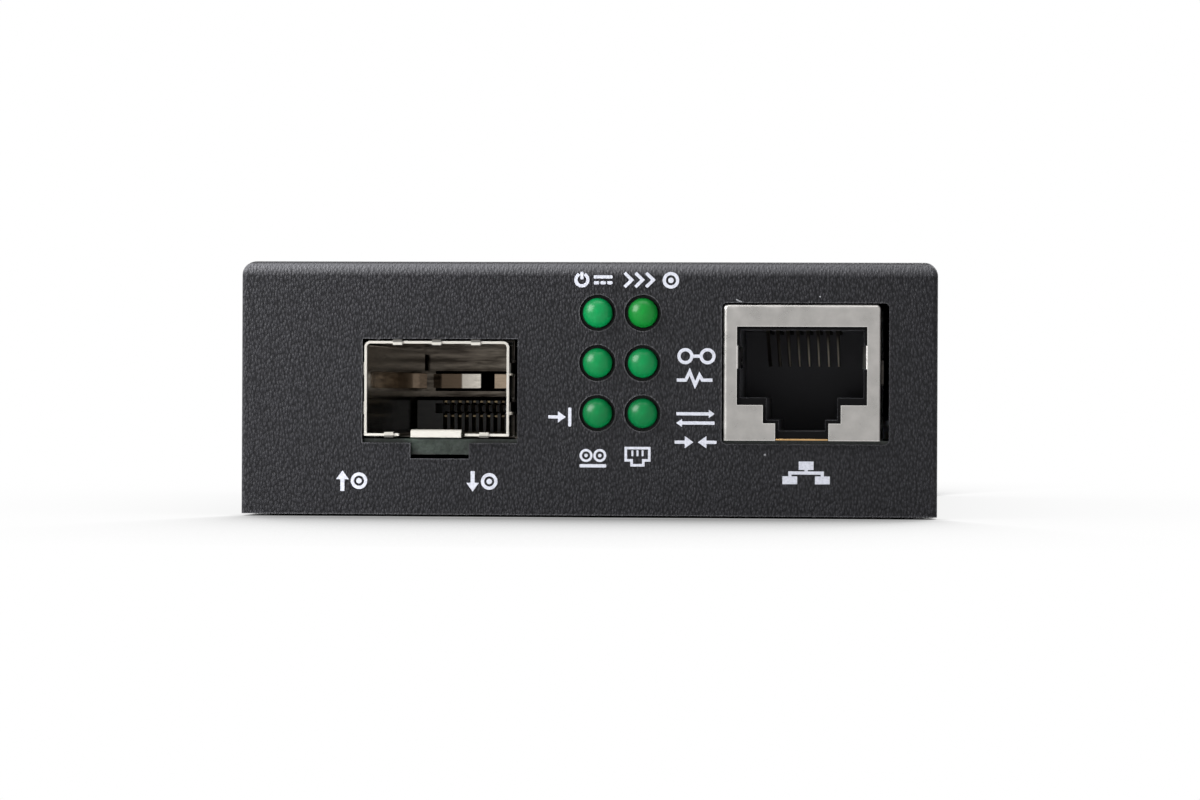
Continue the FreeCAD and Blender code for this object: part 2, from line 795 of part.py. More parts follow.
def make_board_standoffs():
    """Four tapped hexagon pillars, each riveted into the tray's floor by its foot."""
    body = new_body("board_standoffs")
    foot = new_sketch(body, "XY_Plane", S["case_sheet"])
    circle(foot, -BOARD_SCREW_X, BOARD_SCREW_Y, S["standoff_foot"])
    stub = pad(body, foot, S["case_sheet"] - S["thread_gap"], reverse=True)
    pillar = new_sketch(body, "XY_Plane", S["case_sheet"])
    flat = S["standoff_radius"]
    corner = flat * HEXAGON_CORNER
    hexagon = [(corner, 0), (corner / 2, flat), (-corner / 2, flat)]
    hexagon += [(-corner, 0), (-corner / 2, -flat), (corner / 2, -flat)]
    outline(pillar, [(right - BOARD_SCREW_X, BOARD_SCREW_Y + back) for right, back in hexagon])
    column = pad(body, pillar, S["standoff_height"])
    bore = new_sketch(body, "XY_Plane", BOARD_LOW)
    circle(bore, -BOARD_SCREW_X, BOARD_SCREW_Y, S["board_screw_shank"] + S["thread_gap"])
    drilled = pocket(body, bore, S["standoff_height"])
    four_by_grid(body, [stub, column, drilled], pillar)


def cut_cross(body, role, along, x, y, reach, reverse=False):
    """A cross recess in a screw's head, cut from the plane at along."""
    bar = S["cross_recess_width"] / 2
    arm = reach * CROSS_SHARE
    cross = new_sketch(body, role, along)
    outline(
        cross,
        [
            (x - bar, y - arm),
            (x + bar, y - arm),
            (x + bar, y - bar),
            (x + arm, y - bar),
            (x + arm, y + bar),
            (x + bar, y + bar),
            (x + bar, y + arm),
            (x - bar, y + arm),
            (x - bar, y + bar),
            (x - arm, y + bar),
            (x - arm, y - bar),
            (x - bar, y - bar),
        ],
    )
    return pocket(body, cross, S["cross_recess_depth"], reverse=reverse)


def make_board_screws():
    """Four pan-head screws, from the board down into the standoffs."""
    body = new_body("board_screws")
    shank = new_sketch(body, "XY_Plane", BOARD_TOP)
    circle(shank, -BOARD_SCREW_X, BOARD_SCREW_Y, S["board_screw_shank"])
    pad(body, shank, S["board_screw_length"], reverse=True)
    pan = new_sketch(body, "XY_Plane", BOARD_TOP)
    circle(pan, -BOARD_SCREW_X, BOARD_SCREW_Y, S["board_screw_head"])
    head = pad(body, pan, S["board_screw_head_height"])
    round_edges(
        body,
        head,
        S["board_screw_head_height"] * HEAD_CHAMFER_SHARE,
        lambda at, span: near(span.ZMin, BOARD_TOP + S["board_screw_head_height"]) and span.ZLength < TINY,
        kind="Chamfer",
    )
    level = BOARD_TOP + S["board_screw_head_height"]
    cut_cross(body, "XY_Plane", level, -BOARD_SCREW_X, BOARD_SCREW_Y, S["board_screw_head"])
    made = repeat(body, [], shank, "H_Axis", 2 * BOARD_SCREW_X, 2, ("V_Axis", BOARD_SCREW_RUN, 2))
    made.TransformMode = "Whole shape"
    doc.recompute()


def make_cover_screws():
    """Four countersunk screws, through the cover's side walls into the tray's tapped bosses."""
    body = new_body("cover_screws")
    half, gap = S["case_width"] / 2, S["thread_gap"]
    for side, reverse in ((1, True), (-1, False)):
        for end in (-1, 1):
            y, z = end * COVER_SCREW_Y, S["cover_screw_level"]
            face = new_sketch(body, "YZ_Plane", side * half)
            circle(face, y, z, S["cover_screw_head"] - gap)
            cone = pad(body, face, S["case_sheet"], reverse=reverse)
            cone.TaperAngle = COUNTERSINK
            stem = new_sketch(body, "YZ_Plane", side * (half - S["case_sheet"]))
            circle(stem, y, z, S["cover_screw_shank"])
            pad(body, stem, S["cover_screw_length"] - S["case_sheet"], reverse=reverse)
            cut_cross(body, "YZ_Plane", side * half, y, z, S["cover_screw_head"], reverse=side < 0)


def drill(body, x, y, radius, repeats=None):
    """Round holes through the board. repeats holds what repeat() takes after the profile."""
    hole = new_sketch(body, "XY_Plane", BOARD_TOP)
    circle(hole, x, y, radius)
    cut = pocket(body, hole, S["board_thickness"])
    if repeats:
        repeat(body, [cut], hole, *repeats)


def slot_for_legs(body, x, y, size_x, size_y, repeats=None):
    """Plated slots through the board, larger all round than the flat legs that pass through them."""
    hole = new_sketch(body, "XY_Plane", BOARD_TOP)
    reach_x = size_x / 2 + S["board_hole_gap"]
    reach_y = size_y / 2 + S["board_hole_gap"]
    rectangle(hole, x - reach_x, y - reach_y, x + reach_x, y + reach_y)
    cut = pocket(body, hole, S["board_thickness"])
    if repeats:
        repeat(body, [cut], hole, *repeats)


def make_circuit_board():
    """The board, with a hole for every screw, peg and leg."""
    body = new_body("circuit_board")
    plan = new_sketch(body, "XY_Plane", BOARD_LOW)
    rectangle(plan, -BOARD_HALF, BOARD_FRONT, BOARD_HALF, BOARD_REAR)
    blank = pad(body, plan, S["board_thickness"])
    round_edges(body, blank, S["board_corner"], lambda at, span: span.ZLength > TINY)
    screw_hole = S["board_screw_shank"] + S["board_hole_gap"]
    run = ("V_Axis", BOARD_SCREW_RUN, 2)
    drill(body, -BOARD_SCREW_X, BOARD_SCREW_Y, screw_hole, ("H_Axis", 2 * BOARD_SCREW_X, 2, run))
    wall = S["cage_sheet"]
    side = CAGE_HALF - wall / 2
    both = ("H_Axis", 2 * side, 2, ("V_Axis", S["cage_leg_pitch"], S["cage_leg_count"]))
    slot_for_legs(body, CAGE_X - side, CAGE_FRONT + S["cage_leg_first"], wall, S["cage_leg_width"], both)
    peg_hole = S["jack_peg_radius"] + S["board_hole_gap"]
    peg_y = JACK_FRONT + S["jack_peg_back"]
    drill(body, JACK_X - S["jack_peg_spread"], peg_y, peg_hole, ("H_Axis", 2 * S["jack_peg_spread"], 2))
    tab_y = JACK_FRONT + S["jack_tab_back"]
    tab_side = JACK_HALF - S["jack_sheet"] / 2
    both = ("H_Axis", 2 * tab_side, 2)
    slot_for_legs(body, JACK_X - tab_side, tab_y, S["jack_sheet"], S["jack_tab_width"], both)
    wire_x = JACK_X - (S["wire_count"] - 1) * S["wire_pitch"] / 2
    wire_y = JACK_FRONT + S["wire_leg_back"]
    row = ("H_Axis", S["wire_pitch"], S["wire_count"])
    slot_for_legs(body, wire_x, wire_y, S["wire_width"], S["wire_sheet"], row)
    thick = S["lead_size"]
    for row in range(LAMP_ROWS):
        y = lead_back(row) - thick / 2
        x = LAMP_LEFT - S["lead_spread"]
        slot_for_legs(body, x, y, thick, thick, ("H_Axis", S["lamp_pitch_x"], 2))
        slot_for_legs(body, x + 2 * S["lead_spread"], y, thick, thick, ("H_Axis", S["lamp_pitch_x"], 2))
    width, thick = S["inlet_leg_width"], S["inlet_leg_sheet"]
    pin_leg, sleeve_leg, side_leg = inlet_leg_places()
    slot_for_legs(body, *pin_leg, width, thick)
    slot_for_legs(body, *sleeve_leg, S["inlet_leaf_width"], thick)
    slot_for_legs(body, *side_leg, thick, width)


def make_cage_body():
    """Roof, side walls and rear wall of the cage, with its legs, holes and eject springs."""
    body = new_body("cage_body")
    wall = S["cage_sheet"]
    plan = new_sketch(body, "XY_Plane", CAGE_WALL_LOW)
    rectangle(plan, CAGE_X - CAGE_HALF, CAGE_FRONT, CAGE_X + CAGE_HALF, CAGE_REAR)
    blank = pad(body, plan, CAGE_TOP - CAGE_WALL_LOW)
    round_edges(
        body,
        blank,
        S["cage_fold"],
        lambda at, span: near(at.z, CAGE_TOP) and span.YLength > 1,
    )
    inner = new_sketch(body, "XY_Plane", CAGE_WALL_LOW)
    rectangle(inner, CAGE_X - CAGE_INNER, CAGE_FRONT - wall, CAGE_X + CAGE_INNER, CAGE_REAR - wall)
    hollow = pocket(body, inner, CAGE_TOP - wall - CAGE_WALL_LOW, reverse=True)
    round_edges(
        body,
        hollow,
        S["cage_fold"] - wall,
        lambda at, span: near(at.z, CAGE_TOP - wall)
        and span.YLength > 1
        and near(abs(at.x - CAGE_X.value), CAGE_INNER),
    )
    add_cage_legs(body)
    add_eject_springs(body)
    roof = new_sketch(body, "XY_Plane", CAGE_TOP)
    first_x = CAGE_X - (S["cage_roof_count_x"] - 1) * S["cage_roof_pitch_x"] / 2
    first_y = CAGE_FRONT + S["collar_front"] + S["collar_width"] * 3
    circle(roof, first_x, first_y, S["cage_roof_hole"])
    hole = pocket(body, roof, 2 * wall)
    rows = ("V_Axis", S["cage_roof_pitch_y"], S["cage_roof_count_y"])
    repeat(body, [hole], roof, "H_Axis", S["cage_roof_pitch_x"], S["cage_roof_count_x"], rows)


def add_cage_legs(body):
    """Legs along both side walls: a shoulder that stands on the board, and a tip through its hole."""
    wall = S["cage_sheet"]
    y = CAGE_FRONT + S["cage_leg_first"]
    legs = []
    left = CAGE_X - CAGE_HALF
    profile = new_sketch(body, "YZ_Plane", left)
    shoulder, tip = S["cage_leg_shoulder"] / 2, S["cage_leg_width"] / 2
    outline(
        profile,
        [
            (y - shoulder, BOARD_TOP),
            (y - tip, BOARD_TOP),
            (y - tip, BOARD_LOW - S["leg_reach"]),
            (y + tip, BOARD_LOW - S["leg_reach"]),
            (y + tip, BOARD_TOP),
            (y + shoulder, BOARD_TOP),
            (y + shoulder, CAGE_WALL_LOW + wall),
            (y - shoulder, CAGE_WALL_LOW + wall),
        ],
    )
    legs.append(pad(body, profile, wall))
    across = new_sketch(body, "XY_Plane", CAGE_TOP)
    circle(across, 0, 0, 1)
    run = ("V_Axis", S["cage_leg_pitch"], S["cage_leg_count"])
    repeat(body, legs, across, "H_Axis", 2 * CAGE_HALF - wall, 2, run)


def add_eject_springs(body):
    """Two leaves bent forward out of the rear wall, which push a module out, and the window they leave."""
    wall = S["cage_sheet"]
    level = BOARD_TOP + S["kicker_level"]
    inside = CAGE_REAR - wall
    window = new_sketch(body, "XZ_Plane", -inside)
    reach, rise = S["cage_window_length"] / 2, S["cage_window_height"] / 2
    rectangle(window, CAGE_X - reach, level - rise, CAGE_X + reach, level + rise)
    pocket(body, window, wall)
    end = inside - S["kicker_run"]
    knee_y = inside - S["kicker_run"] * KNEE_RUN_SHARE
    for side in (-1, 1):
        leaf = new_sketch(body, "XY_Plane", level - S["kicker_height"] / 2)
        root = CAGE_X + side * reach
        knee = root - side * S["kicker_root"]
        tip = CAGE_X + side * S["kicker_gap"]
        outline(
            leaf,
            [
                (root + side * wall, inside),
                (knee, knee_y),
                (tip, end),
                (tip, end + wall),
                (knee, knee_y + wall),
                (root, CAGE_REAR),
                (root + side * wall, CAGE_REAR),
            ],
        )
        pad(body, leaf, S["kicker_height"])
        corner = new_sketch(body, "YZ_Plane", CAGE_X + side * CAGE_HALF)
        middle, half = BOARD_TOP + S["corner_slot_level"], S["corner_slot_height"] / 2
        rectangle(corner, CAGE_REAR - S["corner_slot_run"], middle - half, CAGE_REAR, middle + half)
        pocket(body, corner, wall, reverse=side < 0)


def make_cage_floor():
    """The cage's floor with the flanges that clasp its side walls, and the sprung latch tongue."""
    body = new_body("cage_floor")
    wall, gap = S["cage_sheet"], S["cage_seam"]
    plan = new_sketch(body, "XY_Plane", CAGE_LOW)
    root = CAGE_FRONT + S["latch_length"]
    back = CAGE_FRONT + S["floor_length"]
    wide = CAGE_HALF + gap + wall
    step = CAGE_FRONT + S["floor_flange_front"]
    outline(
        plan,
        [
            (CAGE_X - CAGE_HALF, CAGE_FRONT),
            (CAGE_X - S["latch_slot_left"], CAGE_FRONT),
            (CAGE_X - S["latch_slot_left"], root),
            (CAGE_X + S["latch_slot_right"], root),
            (CAGE_X + S["latch_slot_right"], CAGE_FRONT),
            (CAGE_X + CAGE_HALF, CAGE_FRONT),
            (CAGE_X + CAGE_HALF, step),
            (CAGE_X + wide, step),
            (CAGE_X + wide, back),
            (CAGE_X - wide, back),
            (CAGE_X - wide, step),
            (CAGE_X - CAGE_HALF, step),
        ],
    )
    pad(body, plan, wall)
    for side in (-1, 1):
        flange = new_sketch(body, "YZ_Plane", CAGE_X + side * wide)
        rectangle(flange, step, CAGE_LOW, back, CAGE_LOW + S["floor_flange_height"])
        pad(body, flange, wall, reverse=side > 0)
    notch = new_sketch(body, "XY_Plane", CAGE_LOW + wall)
    leg, reach = CAGE_FRONT + S["cage_leg_first"], S["cage_leg_shoulder"] / 2 + gap
    for side in (-1, 1):
        near_x, far_x = CAGE_X + side * (CAGE_INNER - gap), CAGE_X + side * (CAGE_HALF + gap)
        left, right = (near_x, far_x) if side > 0 else (far_x, near_x)
        rectangle(notch, left, leg - reach, right, leg + reach)
    cut = pocket(body, notch, wall)
    repeat(body, [cut], notch, "V_Axis", S["cage_leg_pitch"], S["cage_leg_count"])
    add_latch(body, root)


def add_latch(body, root):
    """The tongue's section, from its root to the lip that a module rides over, and the eye that holds it."""
    wall = S["cage_sheet"]
    low, high = CAGE_LOW, CAGE_LOW + wall
    run = S["latch_lip_run"]
    bend = CAGE_FRONT + run
    crest = CAGE_FRONT + run * CREST_SHARE
    nose = CAGE_FRONT - wall
    rise, drop = S["latch_lip_rise"], S["latch_lip_drop"]
    section = new_sketch(body, "YZ_Plane", CAGE_X)
    outline(
        section,
        [
            (root + wall, low),
            (root + wall, high),
            (bend, high),
            (crest, high + rise),
            (nose, high + rise - wall * LIP_THINNING),
            (nose - wall, low + rise),
            (nose - wall, low - drop + wall),
            (nose, low - drop + wall),
            (nose, low + rise - wall * LIP_THINNING),
            (crest, low + rise),
            (bend, low),
        ],
    )
    tongue = pad(body, section, S["latch_width"], both_ways=True)
    eye = new_sketch(body, "XY_Plane", high + rise)
    tip = CAGE_FRONT + S["latch_eye_back"]
    half = S["latch_eye"] / 2
    outline(eye, [(CAGE_X - half, tip + half), (CAGE_X, tip - half), (CAGE_X + half, tip + half)])
    pocket(body, eye, rise + 2 * wall)
    return tongue


def finger_section(outer, sign, inner=None):
    """Points of one finger's section in a plane of Y and the height above the cage's middle.

    outer is the cage's outer face on that side, and sign is 1 where outwards is the larger number.
    A finger with inner, the wall's inner face, clips over the cage's mouth. Others end behind it."""
    sheet_size, gap = S["finger_sheet"], S["finger_gap"]
    start = CAGE_FRONT + S["collar_front"] + S["collar_width"] / 2
    swell = CAGE_FRONT + S["collar_front"] * SWELL_SHARE
    swell_front = CAGE_FRONT + S["collar_front"] * SWELL_FRONT_SHARE
    nose = CAGE_FRONT - gap
    skin = outer + sign * gap
    top = skin + sign * sheet_size
    bulge = sign * (S["cage_cut_over"] - sheet_size - 2 * gap)
    swollen = [(start, skin), (swell, skin + bulge), (swell_front, skin + bulge)]
    outside = [(swell_front, top + bulge), (swell, top + bulge), (start, top)]
    if inner is None:
        edge = CAGE_FRONT + sheet_size
        return swollen + [(edge, skin), (edge, top)] + outside
    inside = CAGE_FRONT + S["finger_inside"]
    under = inner - sign * gap
    clip = [
        (nose, skin),
        (nose, under),
        (inside, under),
        (inside, under - sign * sheet_size),
        (nose - sheet_size, under - sign * sheet_size),
        (nose - sheet_size, top),
    ]
    return swollen + clip + outside


def make_finger_ring():
    """A collar round the cage with sprung fingers that touch the panel. Five of them clip over the mouth."""
    body = new_body("cage_spring_fingers")
    gap, skin = S["finger_gap"], S["finger_sheet"]
    y = CAGE_FRONT + S["collar_front"]
    band = new_sketch(body, "XZ_Plane", -y)
    inner, outer = CAGE_HALF + gap, CAGE_HALF + gap + skin
    rectangle(band, CAGE_X - outer, CAGE_LOW - gap - skin, CAGE_X + outer, CAGE_TOP + gap + skin)
    rectangle(band, CAGE_X - inner, CAGE_LOW - gap, CAGE_X + inner, CAGE_TOP + gap)
    pad(body, band, S["collar_width"], reverse=True)
    wall = S["cage_sheet"]
    roof = new_sketch(body, "YZ_Plane", CAGE_X - S["finger_pitch"])
    outline(roof, finger_section(CAGE_TOP, 1, CAGE_TOP - wall))
    top = pad(body, roof, S["finger_width"], both_ways=True)
    under = new_sketch(body, "YZ_Plane", CAGE_X - S["finger_under_pitch"] / 2)
    outline(under, finger_section(CAGE_LOW, -1, CAGE_LOW + wall))
    low = pad(body, under, S["finger_width"], both_ways=True)
    grid = new_sketch(body, "XZ_Plane", -y)
    circle(grid, 0, 0, 1)
    repeat(body, [top], grid, "H_Axis", S["finger_pitch"], 3)
    repeat(body, [low], grid, "H_Axis", S["finger_under_pitch"], 2)
    middle = (CAGE_LOW + CAGE_TOP) / 2
    for side in (-1, 1):
        section = finger_section(CAGE_X + side * CAGE_HALF, side)
        flank = new_sketch(body, "XY_Plane", middle - S["finger_pitch"] / 2)
        outline(flank, [(x, y_place) for y_place, x in section])
        edge = pad(body, flank, S["finger_side_width"], both_ways=True)
        repeat(body, [edge], grid, "V_Axis", S["finger_pitch"], 2)


def make_host_housing():
    """The moulded connector at the rear of the cage: a slot for a module's edge, over a row of channels."""
    body = new_body("host_connector_housing")
    rear = HOST_FRONT + S["host_depth"]
    half = S["host_width"] / 2
    plan = new_sketch(body, "XY_Plane", BOARD_TOP)
    rectangle(plan, CAGE_X - half, HOST_FRONT, CAGE_X + half, rear)
    block = pad(body, plan, S["host_height"])
    round_edges(
        body,
        block,
        S["host_height"] * HOST_CHAMFER_SHARE,
        lambda at, span: near(at.z, BOARD_TOP + S["host_height"]) and near(at.y, HOST_FRONT),
        kind="Chamfer",
    )
    face = new_sketch(body, "XZ_Plane", -HOST_FRONT)
    reach, level = S["host_slot_width"] / 2, BOARD_TOP + S["host_slot_level"]
    mouth = S["host_slot_height"] / 2
    rectangle(face, CAGE_X - reach, level - mouth, CAGE_X + reach, level + mouth)
    pocket(body, face, S["host_slot_depth"])
    first = CAGE_X - (S["host_contact_count"] - 1) * S["host_pitch"] / 2
    side = new_sketch(body, "YZ_Plane", first)
    roof = level + mouth + S["host_height"] * HOST_ROOF_SHARE
    ledge = BOARD_TOP + S["host_height"] * HOST_LEDGE_SHARE
    outline(
        side,
        [
            (HOST_FRONT - S["host_contact_sheet"], BOARD_TOP),
            (HOST_FRONT - S["host_contact_sheet"], roof),
            (rear + S["host_contact_sheet"], roof),
            (rear + S["host_contact_sheet"], BOARD_TOP),
            (rear - S["host_tail"], BOARD_TOP),
            (rear - S["host_tail"], ledge),
            (HOST_FRONT + S["host_slot_depth"], ledge),
            (HOST_FRONT + S["host_slot_depth"], BOARD_TOP),
        ],
    )
    channel = pocket(body, side, S["host_channel"], both_ways=True)
    repeat(body, [channel], face, "H_Axis", S["host_pitch"], S["host_contact_count"])


def make_host_contacts():
    """Twenty contacts in two rows: each a sprung blade in its channel, with its tail on the board."""
    body = new_body("host_connector_contacts")
    thick, tail = S["host_contact_sheet"], S["host_tail"]
    rear = HOST_FRONT + S["host_depth"]
    level, mouth = BOARD_TOP + S["host_slot_level"], S["host_slot_height"] / 2
    inner = HOST_FRONT + S["host_slot_depth"]
    first = CAGE_X - (S["host_contact_count"] - 1) * S["host_pitch"] / 2
    lower = new_sketch(body, "YZ_Plane", first)
    low_tip = level - mouth
    outline(
        lower,
        [
            (HOST_FRONT - tail, BOARD_TOP),
            (inner - thick, BOARD_TOP),
            (inner - thick, low_tip - thick),
            (HOST_FRONT + tail, low_tip + thick),
            (HOST_FRONT + tail / 2, low_tip - thick),
            (HOST_FRONT + tail / 2, low_tip - 2 * thick),
            (HOST_FRONT + tail, low_tip),
            (inner - 2 * thick, low_tip - 2 * thick),
            (inner - 2 * thick, BOARD_TOP + thick),
            (HOST_FRONT - tail, BOARD_TOP + thick),
        ],
    )
    low_blade = pad(body, lower, S["host_contact"], both_ways=True)
    upper = new_sketch(body, "YZ_Plane", first)
    high_tip = level + mouth
    roof = high_tip + S["host_height"] * HOST_ROOF_SHARE - thick / 2
    outline(
        upper,
        [
            (rear + tail, BOARD_TOP),
            (rear - thick, BOARD_TOP),
            (rear - thick, roof - thick),
            (inner, roof - thick),
            (HOST_FRONT + tail, high_tip - thick),
            (HOST_FRONT + tail / 2, high_tip + thick / 2),
            (HOST_FRONT + tail / 2, high_tip + thick * 1.5),
            (HOST_FRONT + tail, high_tip),
            (inner, roof),
            (rear, roof),
            (rear, BOARD_TOP + thick),
            (rear + tail, BOARD_TOP + thick),
        ],
    )
    high_blade = pad(body, upper, S["host_contact"], both_ways=True)
    grid = new_sketch(body, "XZ_Plane", -HOST_FRONT)
    circle(grid, 0, 0, 1)
    repeat(body, [low_blade, high_blade], grid, "H_Axis", S["host_pitch"], S["host_contact_count"])


def jack_mouth(reveal, ledge_reveal, low):
    """The stepped opening that a plug and its clip enter, narrower by reveal on each side."""
    reach = S["jack_mouth_width"] / 2 - reveal
    ledge = S["jack_ledge_width"] / 2 - reveal
    key = S["jack_key_width"] / 2 - reveal
    top = BOARD_TOP + S["jack_mouth_top"] - reveal
    first = BOARD_TOP + S["jack_ledge_level"] + ledge_reveal
    second = BOARD_TOP + S["jack_key_level"] + reveal
    return [
        (JACK_X - reach, top),
        (JACK_X - reach, first),
        (JACK_X - ledge, first),
        (JACK_X - ledge, second),
        (JACK_X - key, second),
        (JACK_X - key, low),
        (JACK_X + key, low),
        (JACK_X + key, second),
        (JACK_X + ledge, second),
        (JACK_X + ledge, first),
        (JACK_X + reach, first),
        (JACK_X + reach, top),
    ]


def make_jack_shield():
    """The jack's shell: front, roof, sides and back of one sheet, with side springs and two solder tabs."""
    body = new_body("jack_shield")
    wall = S["jack_sheet"]
    inner = JACK_HALF - wall
    plan = new_sketch(body, "XY_Plane", BOARD_TOP)
    rectangle(plan, JACK_X - JACK_HALF, JACK_FRONT, JACK_X + JACK_HALF, JACK_REAR)
    blank = pad(body, plan, S["jack_height"])
    round_edges(
        body,
        blank,
        S["jack_fold"],
        lambda at, span: near(at.z, JACK_TOP) or (near(at.y, JACK_FRONT) and span.ZLength > 1),
    )
    below = new_sketch(body, "XY_Plane", BOARD_TOP)
    rectangle(below, JACK_X - inner, JACK_FRONT + wall, JACK_X + inner, JACK_REAR - wall)
    pocket(body, below, S["jack_height"] - wall, reverse=True)
    face = new_sketch(body, "XZ_Plane", -JACK_FRONT)
    outline(face, jack_mouth(as_size(0), as_size(0), BOARD_TOP - wall))
    pocket(body, face, wall * STRIP_ROOM)
    level = BOARD_TOP + S["jack_spring_level"]
    mouth = S["jack_mouth_width"] / 2
    for side in (-1, 1):
        strip = new_sketch(body, "XY_Plane", level)
        x = JACK_X + side * mouth
        lean = side * S["jack_spring_lean"]
        end = JACK_FRONT + S["jack_spring_run"]
        outline(
            strip,
            [
                (x + side * wall, JACK_FRONT),
                (x - lean * STRIP_START_SHARE, JACK_FRONT + wall),
                (x - lean, end),
                (x - lean + side * wall * STRIP_END_SHARE, end),
                (x + side * wall, JACK_FRONT + wall),
            ],
        )
        pad(body, strip, S["jack_spring_height"])
        tab = new_sketch(body, "YZ_Plane", JACK_X + side * JACK_HALF)
        y, reach = JACK_FRONT + S["jack_tab_back"], S["jack_tab_width"] / 2
        rectangle(tab, y - reach, BOARD_LOW - S["leg_reach"], y + reach, BOARD_TOP + wall)
        pad(body, tab, wall, reverse=side > 0)


def jack_wire_top():
    """Height of the wires' run in the roof of the jack's insert."""
    return BOARD_TOP + S["jack_mouth_top"] - S["jack_reveal"] + S["wire_rise"]


def make_jack_insert():
    """The moulded body inside the shield: stepped cavity, wire channels and two locating pegs."""
    body = new_body("jack_insert")
    gap, wall = S["jack_insert_gap"], S["jack_sheet"]
    half = JACK_HALF - wall - gap
    front = JACK_FRONT + wall + gap
    rear = JACK_REAR - wall - gap
    top = JACK_TOP - wall - gap
    plan = new_sketch(body, "XY_Plane", BOARD_TOP)
    rectangle(plan, JACK_X - half, front, JACK_X + half, rear)
    pad(body, plan, top - BOARD_TOP)
    face = new_sketch(body, "XZ_Plane", -front)
    outline(face, jack_mouth(S["jack_reveal"], S["jack_ledge_reveal"], BOARD_TOP + S["jack_floor"]))
    pocket(body, face, S["jack_cavity_depth"])
    for side in (-1, 1):
        relief = new_sketch(body, "XY_Plane", BOARD_TOP + S["jack_spring_level"] - gap)
        reach = S["jack_mouth_width"] / 2 - S["jack_spring_lean"] - wall
        x = JACK_X + side * reach
        far = JACK_X + side * (S["jack_mouth_width"] / 2 + STRIP_ROOM * wall)
        points = [(x, front - gap), (far, front - gap)]
        points += [(far, front + S["jack_spring_run"]), (x, front + S["jack_spring_run"])]
        outline(relief, points if side > 0 else points[::-1])
        pocket(body, relief, S["jack_spring_height"] + 2 * gap, reverse=True)
    channel = new_sketch(body, "YZ_Plane", JACK_X - (S["wire_count"] - 1) * S["wire_pitch"] / 2)
    leg = JACK_FRONT + S["wire_leg_back"]
    play = S["wire_sheet"]
    outline(
        channel,
        [
            (JACK_FRONT + S["wire_front"] - play, BOARD_TOP + S["jack_mouth_top"] - S["jack_reveal"] - play),
            (leg - play, BOARD_TOP + S["jack_mouth_top"] - S["jack_reveal"] - play),
            (leg - play, BOARD_TOP),
            (leg + play, BOARD_TOP),
            (leg + play, jack_wire_top() + play / 2),
            (JACK_FRONT + S["wire_front"] - play, jack_wire_top() + play / 2),
        ],
    )
    cut = pocket(body, channel, S["wire_channel"], both_ways=True)
    repeat(body, [cut], face, "H_Axis", S["wire_pitch"], S["wire_count"])
    pegs = new_sketch(body, "XY_Plane", BOARD_TOP)
    y = JACK_FRONT + S["jack_peg_back"]
    circle(pegs, JACK_X - S["jack_peg_spread"], y, S["jack_peg_radius"])
    circle(pegs, JACK_X + S["jack_peg_spread"], y, S["jack_peg_radius"])
    pad(body, pegs, S["board_thickness"], reverse=True)


def make_jack_wires():
    """Eight gilt spring wires, each a leg from the board, a run along the roof and a tip bent back."""
    body = new_body("jack_contact_wires")
    thick = S["wire_sheet"]
    top = jack_wire_top()
    front = JACK_FRONT + S["wire_front"]
    leg = JACK_FRONT + S["wire_leg_back"]
    tip_y, tip_z = JACK_FRONT + S["wire_tip_back"], BOARD_TOP + S["wire_tip_level"]
    first = JACK_X - (S["wire_count"] - 1) * S["wire_pitch"] / 2
    side = new_sketch(body, "YZ_Plane", first)
    outline(
        side,
        [
            (leg + thick / 2, BOARD_LOW - S["leg_reach"]),
            (leg + thick / 2, top),
            (front, top),
            (front - thick / 2, top - thick),
            (front, top - 2 * thick),
            (tip_y, tip_z - thick / 2),
            (tip_y, tip_z + thick / 2),
            (front + thick, top - thick * 1.5),
            (front + thick, top - thick),
            (leg - thick / 2, top - thick),
            (leg - thick / 2, BOARD_LOW - S["leg_reach"]),
        ],
    )
    wire = pad(body, side, S["wire_width"], both_ways=True)
    grid = new_sketch(body, "XZ_Plane", -JACK_FRONT)
    circle(grid, 0, 0, 1)
    repeat(body, [wire], grid, "H_Axis", S["wire_pitch"], S["wire_count"])


def make_lamp(label, column, row):
    """One lamp, turned as one form: a domed end, a rim behind the panel and a short tail."""
    body = new_body(label)
    x = LAMP_LEFT + column * S["lamp_pitch_x"]
    z = LAMP_LOW + row * S["lamp_pitch_z"]
    tip = FRONT - S["lamp_proud"]
    radius, rim = S["lamp_radius"], S["lamp_rim_radius"]
    rim_front = LAMP_RIM_BACK - S["lamp_rim"]
    end = LAMP_RIM_BACK + S["lamp_tail"]
    half = new_sketch(body, "YZ_Plane", x, 0, z)
    corners = [
        (tip + radius, radius),
        (rim_front, radius),
        (rim_front, rim),
        (LAMP_RIM_BACK, rim),
        (LAMP_RIM_BACK, radius),
        (end, radius),
        (end, as_size(0)),
        (tip, as_size(0)),
    ]
    places = [FreeCAD.Vector(y.value, up.value, 0) for y, up in corners]
    for here, there in zip(places, places[1:]):
        half.addGeometry(Part.LineSegment(here, there))
    slope = radius.value * 0.5**0.5
    on_dome = FreeCAD.Vector((tip + radius).value - slope, slope, 0)
    dome = half.addGeometry(Part.Arc(places[0], on_dome, places[-1]))
    for i, corner in enumerate(corners[:-1]):
        pin_point(half, i, 1, *corner)
    pin_point(half, dome - 1, 2, *corners[-1])
    for i in range(dome - 1):
        half.addConstraint(Sketcher.Constraint("Coincident", i, 2, i + 1, 1))
    half.addConstraint(Sketcher.Constraint("Coincident", dome, 1, 0, 1))
    half.addConstraint(Sketcher.Constraint("Coincident", dome, 2, dome - 1, 2))
    index = half.addConstraint(Sketcher.Constraint("DistanceY", -1, 1, dome, 3, 0.0))
    half.setExpression(f"Constraints[{index}]", as_size(0).text)
    turned(body, "Revolution", half, "H_Axis")


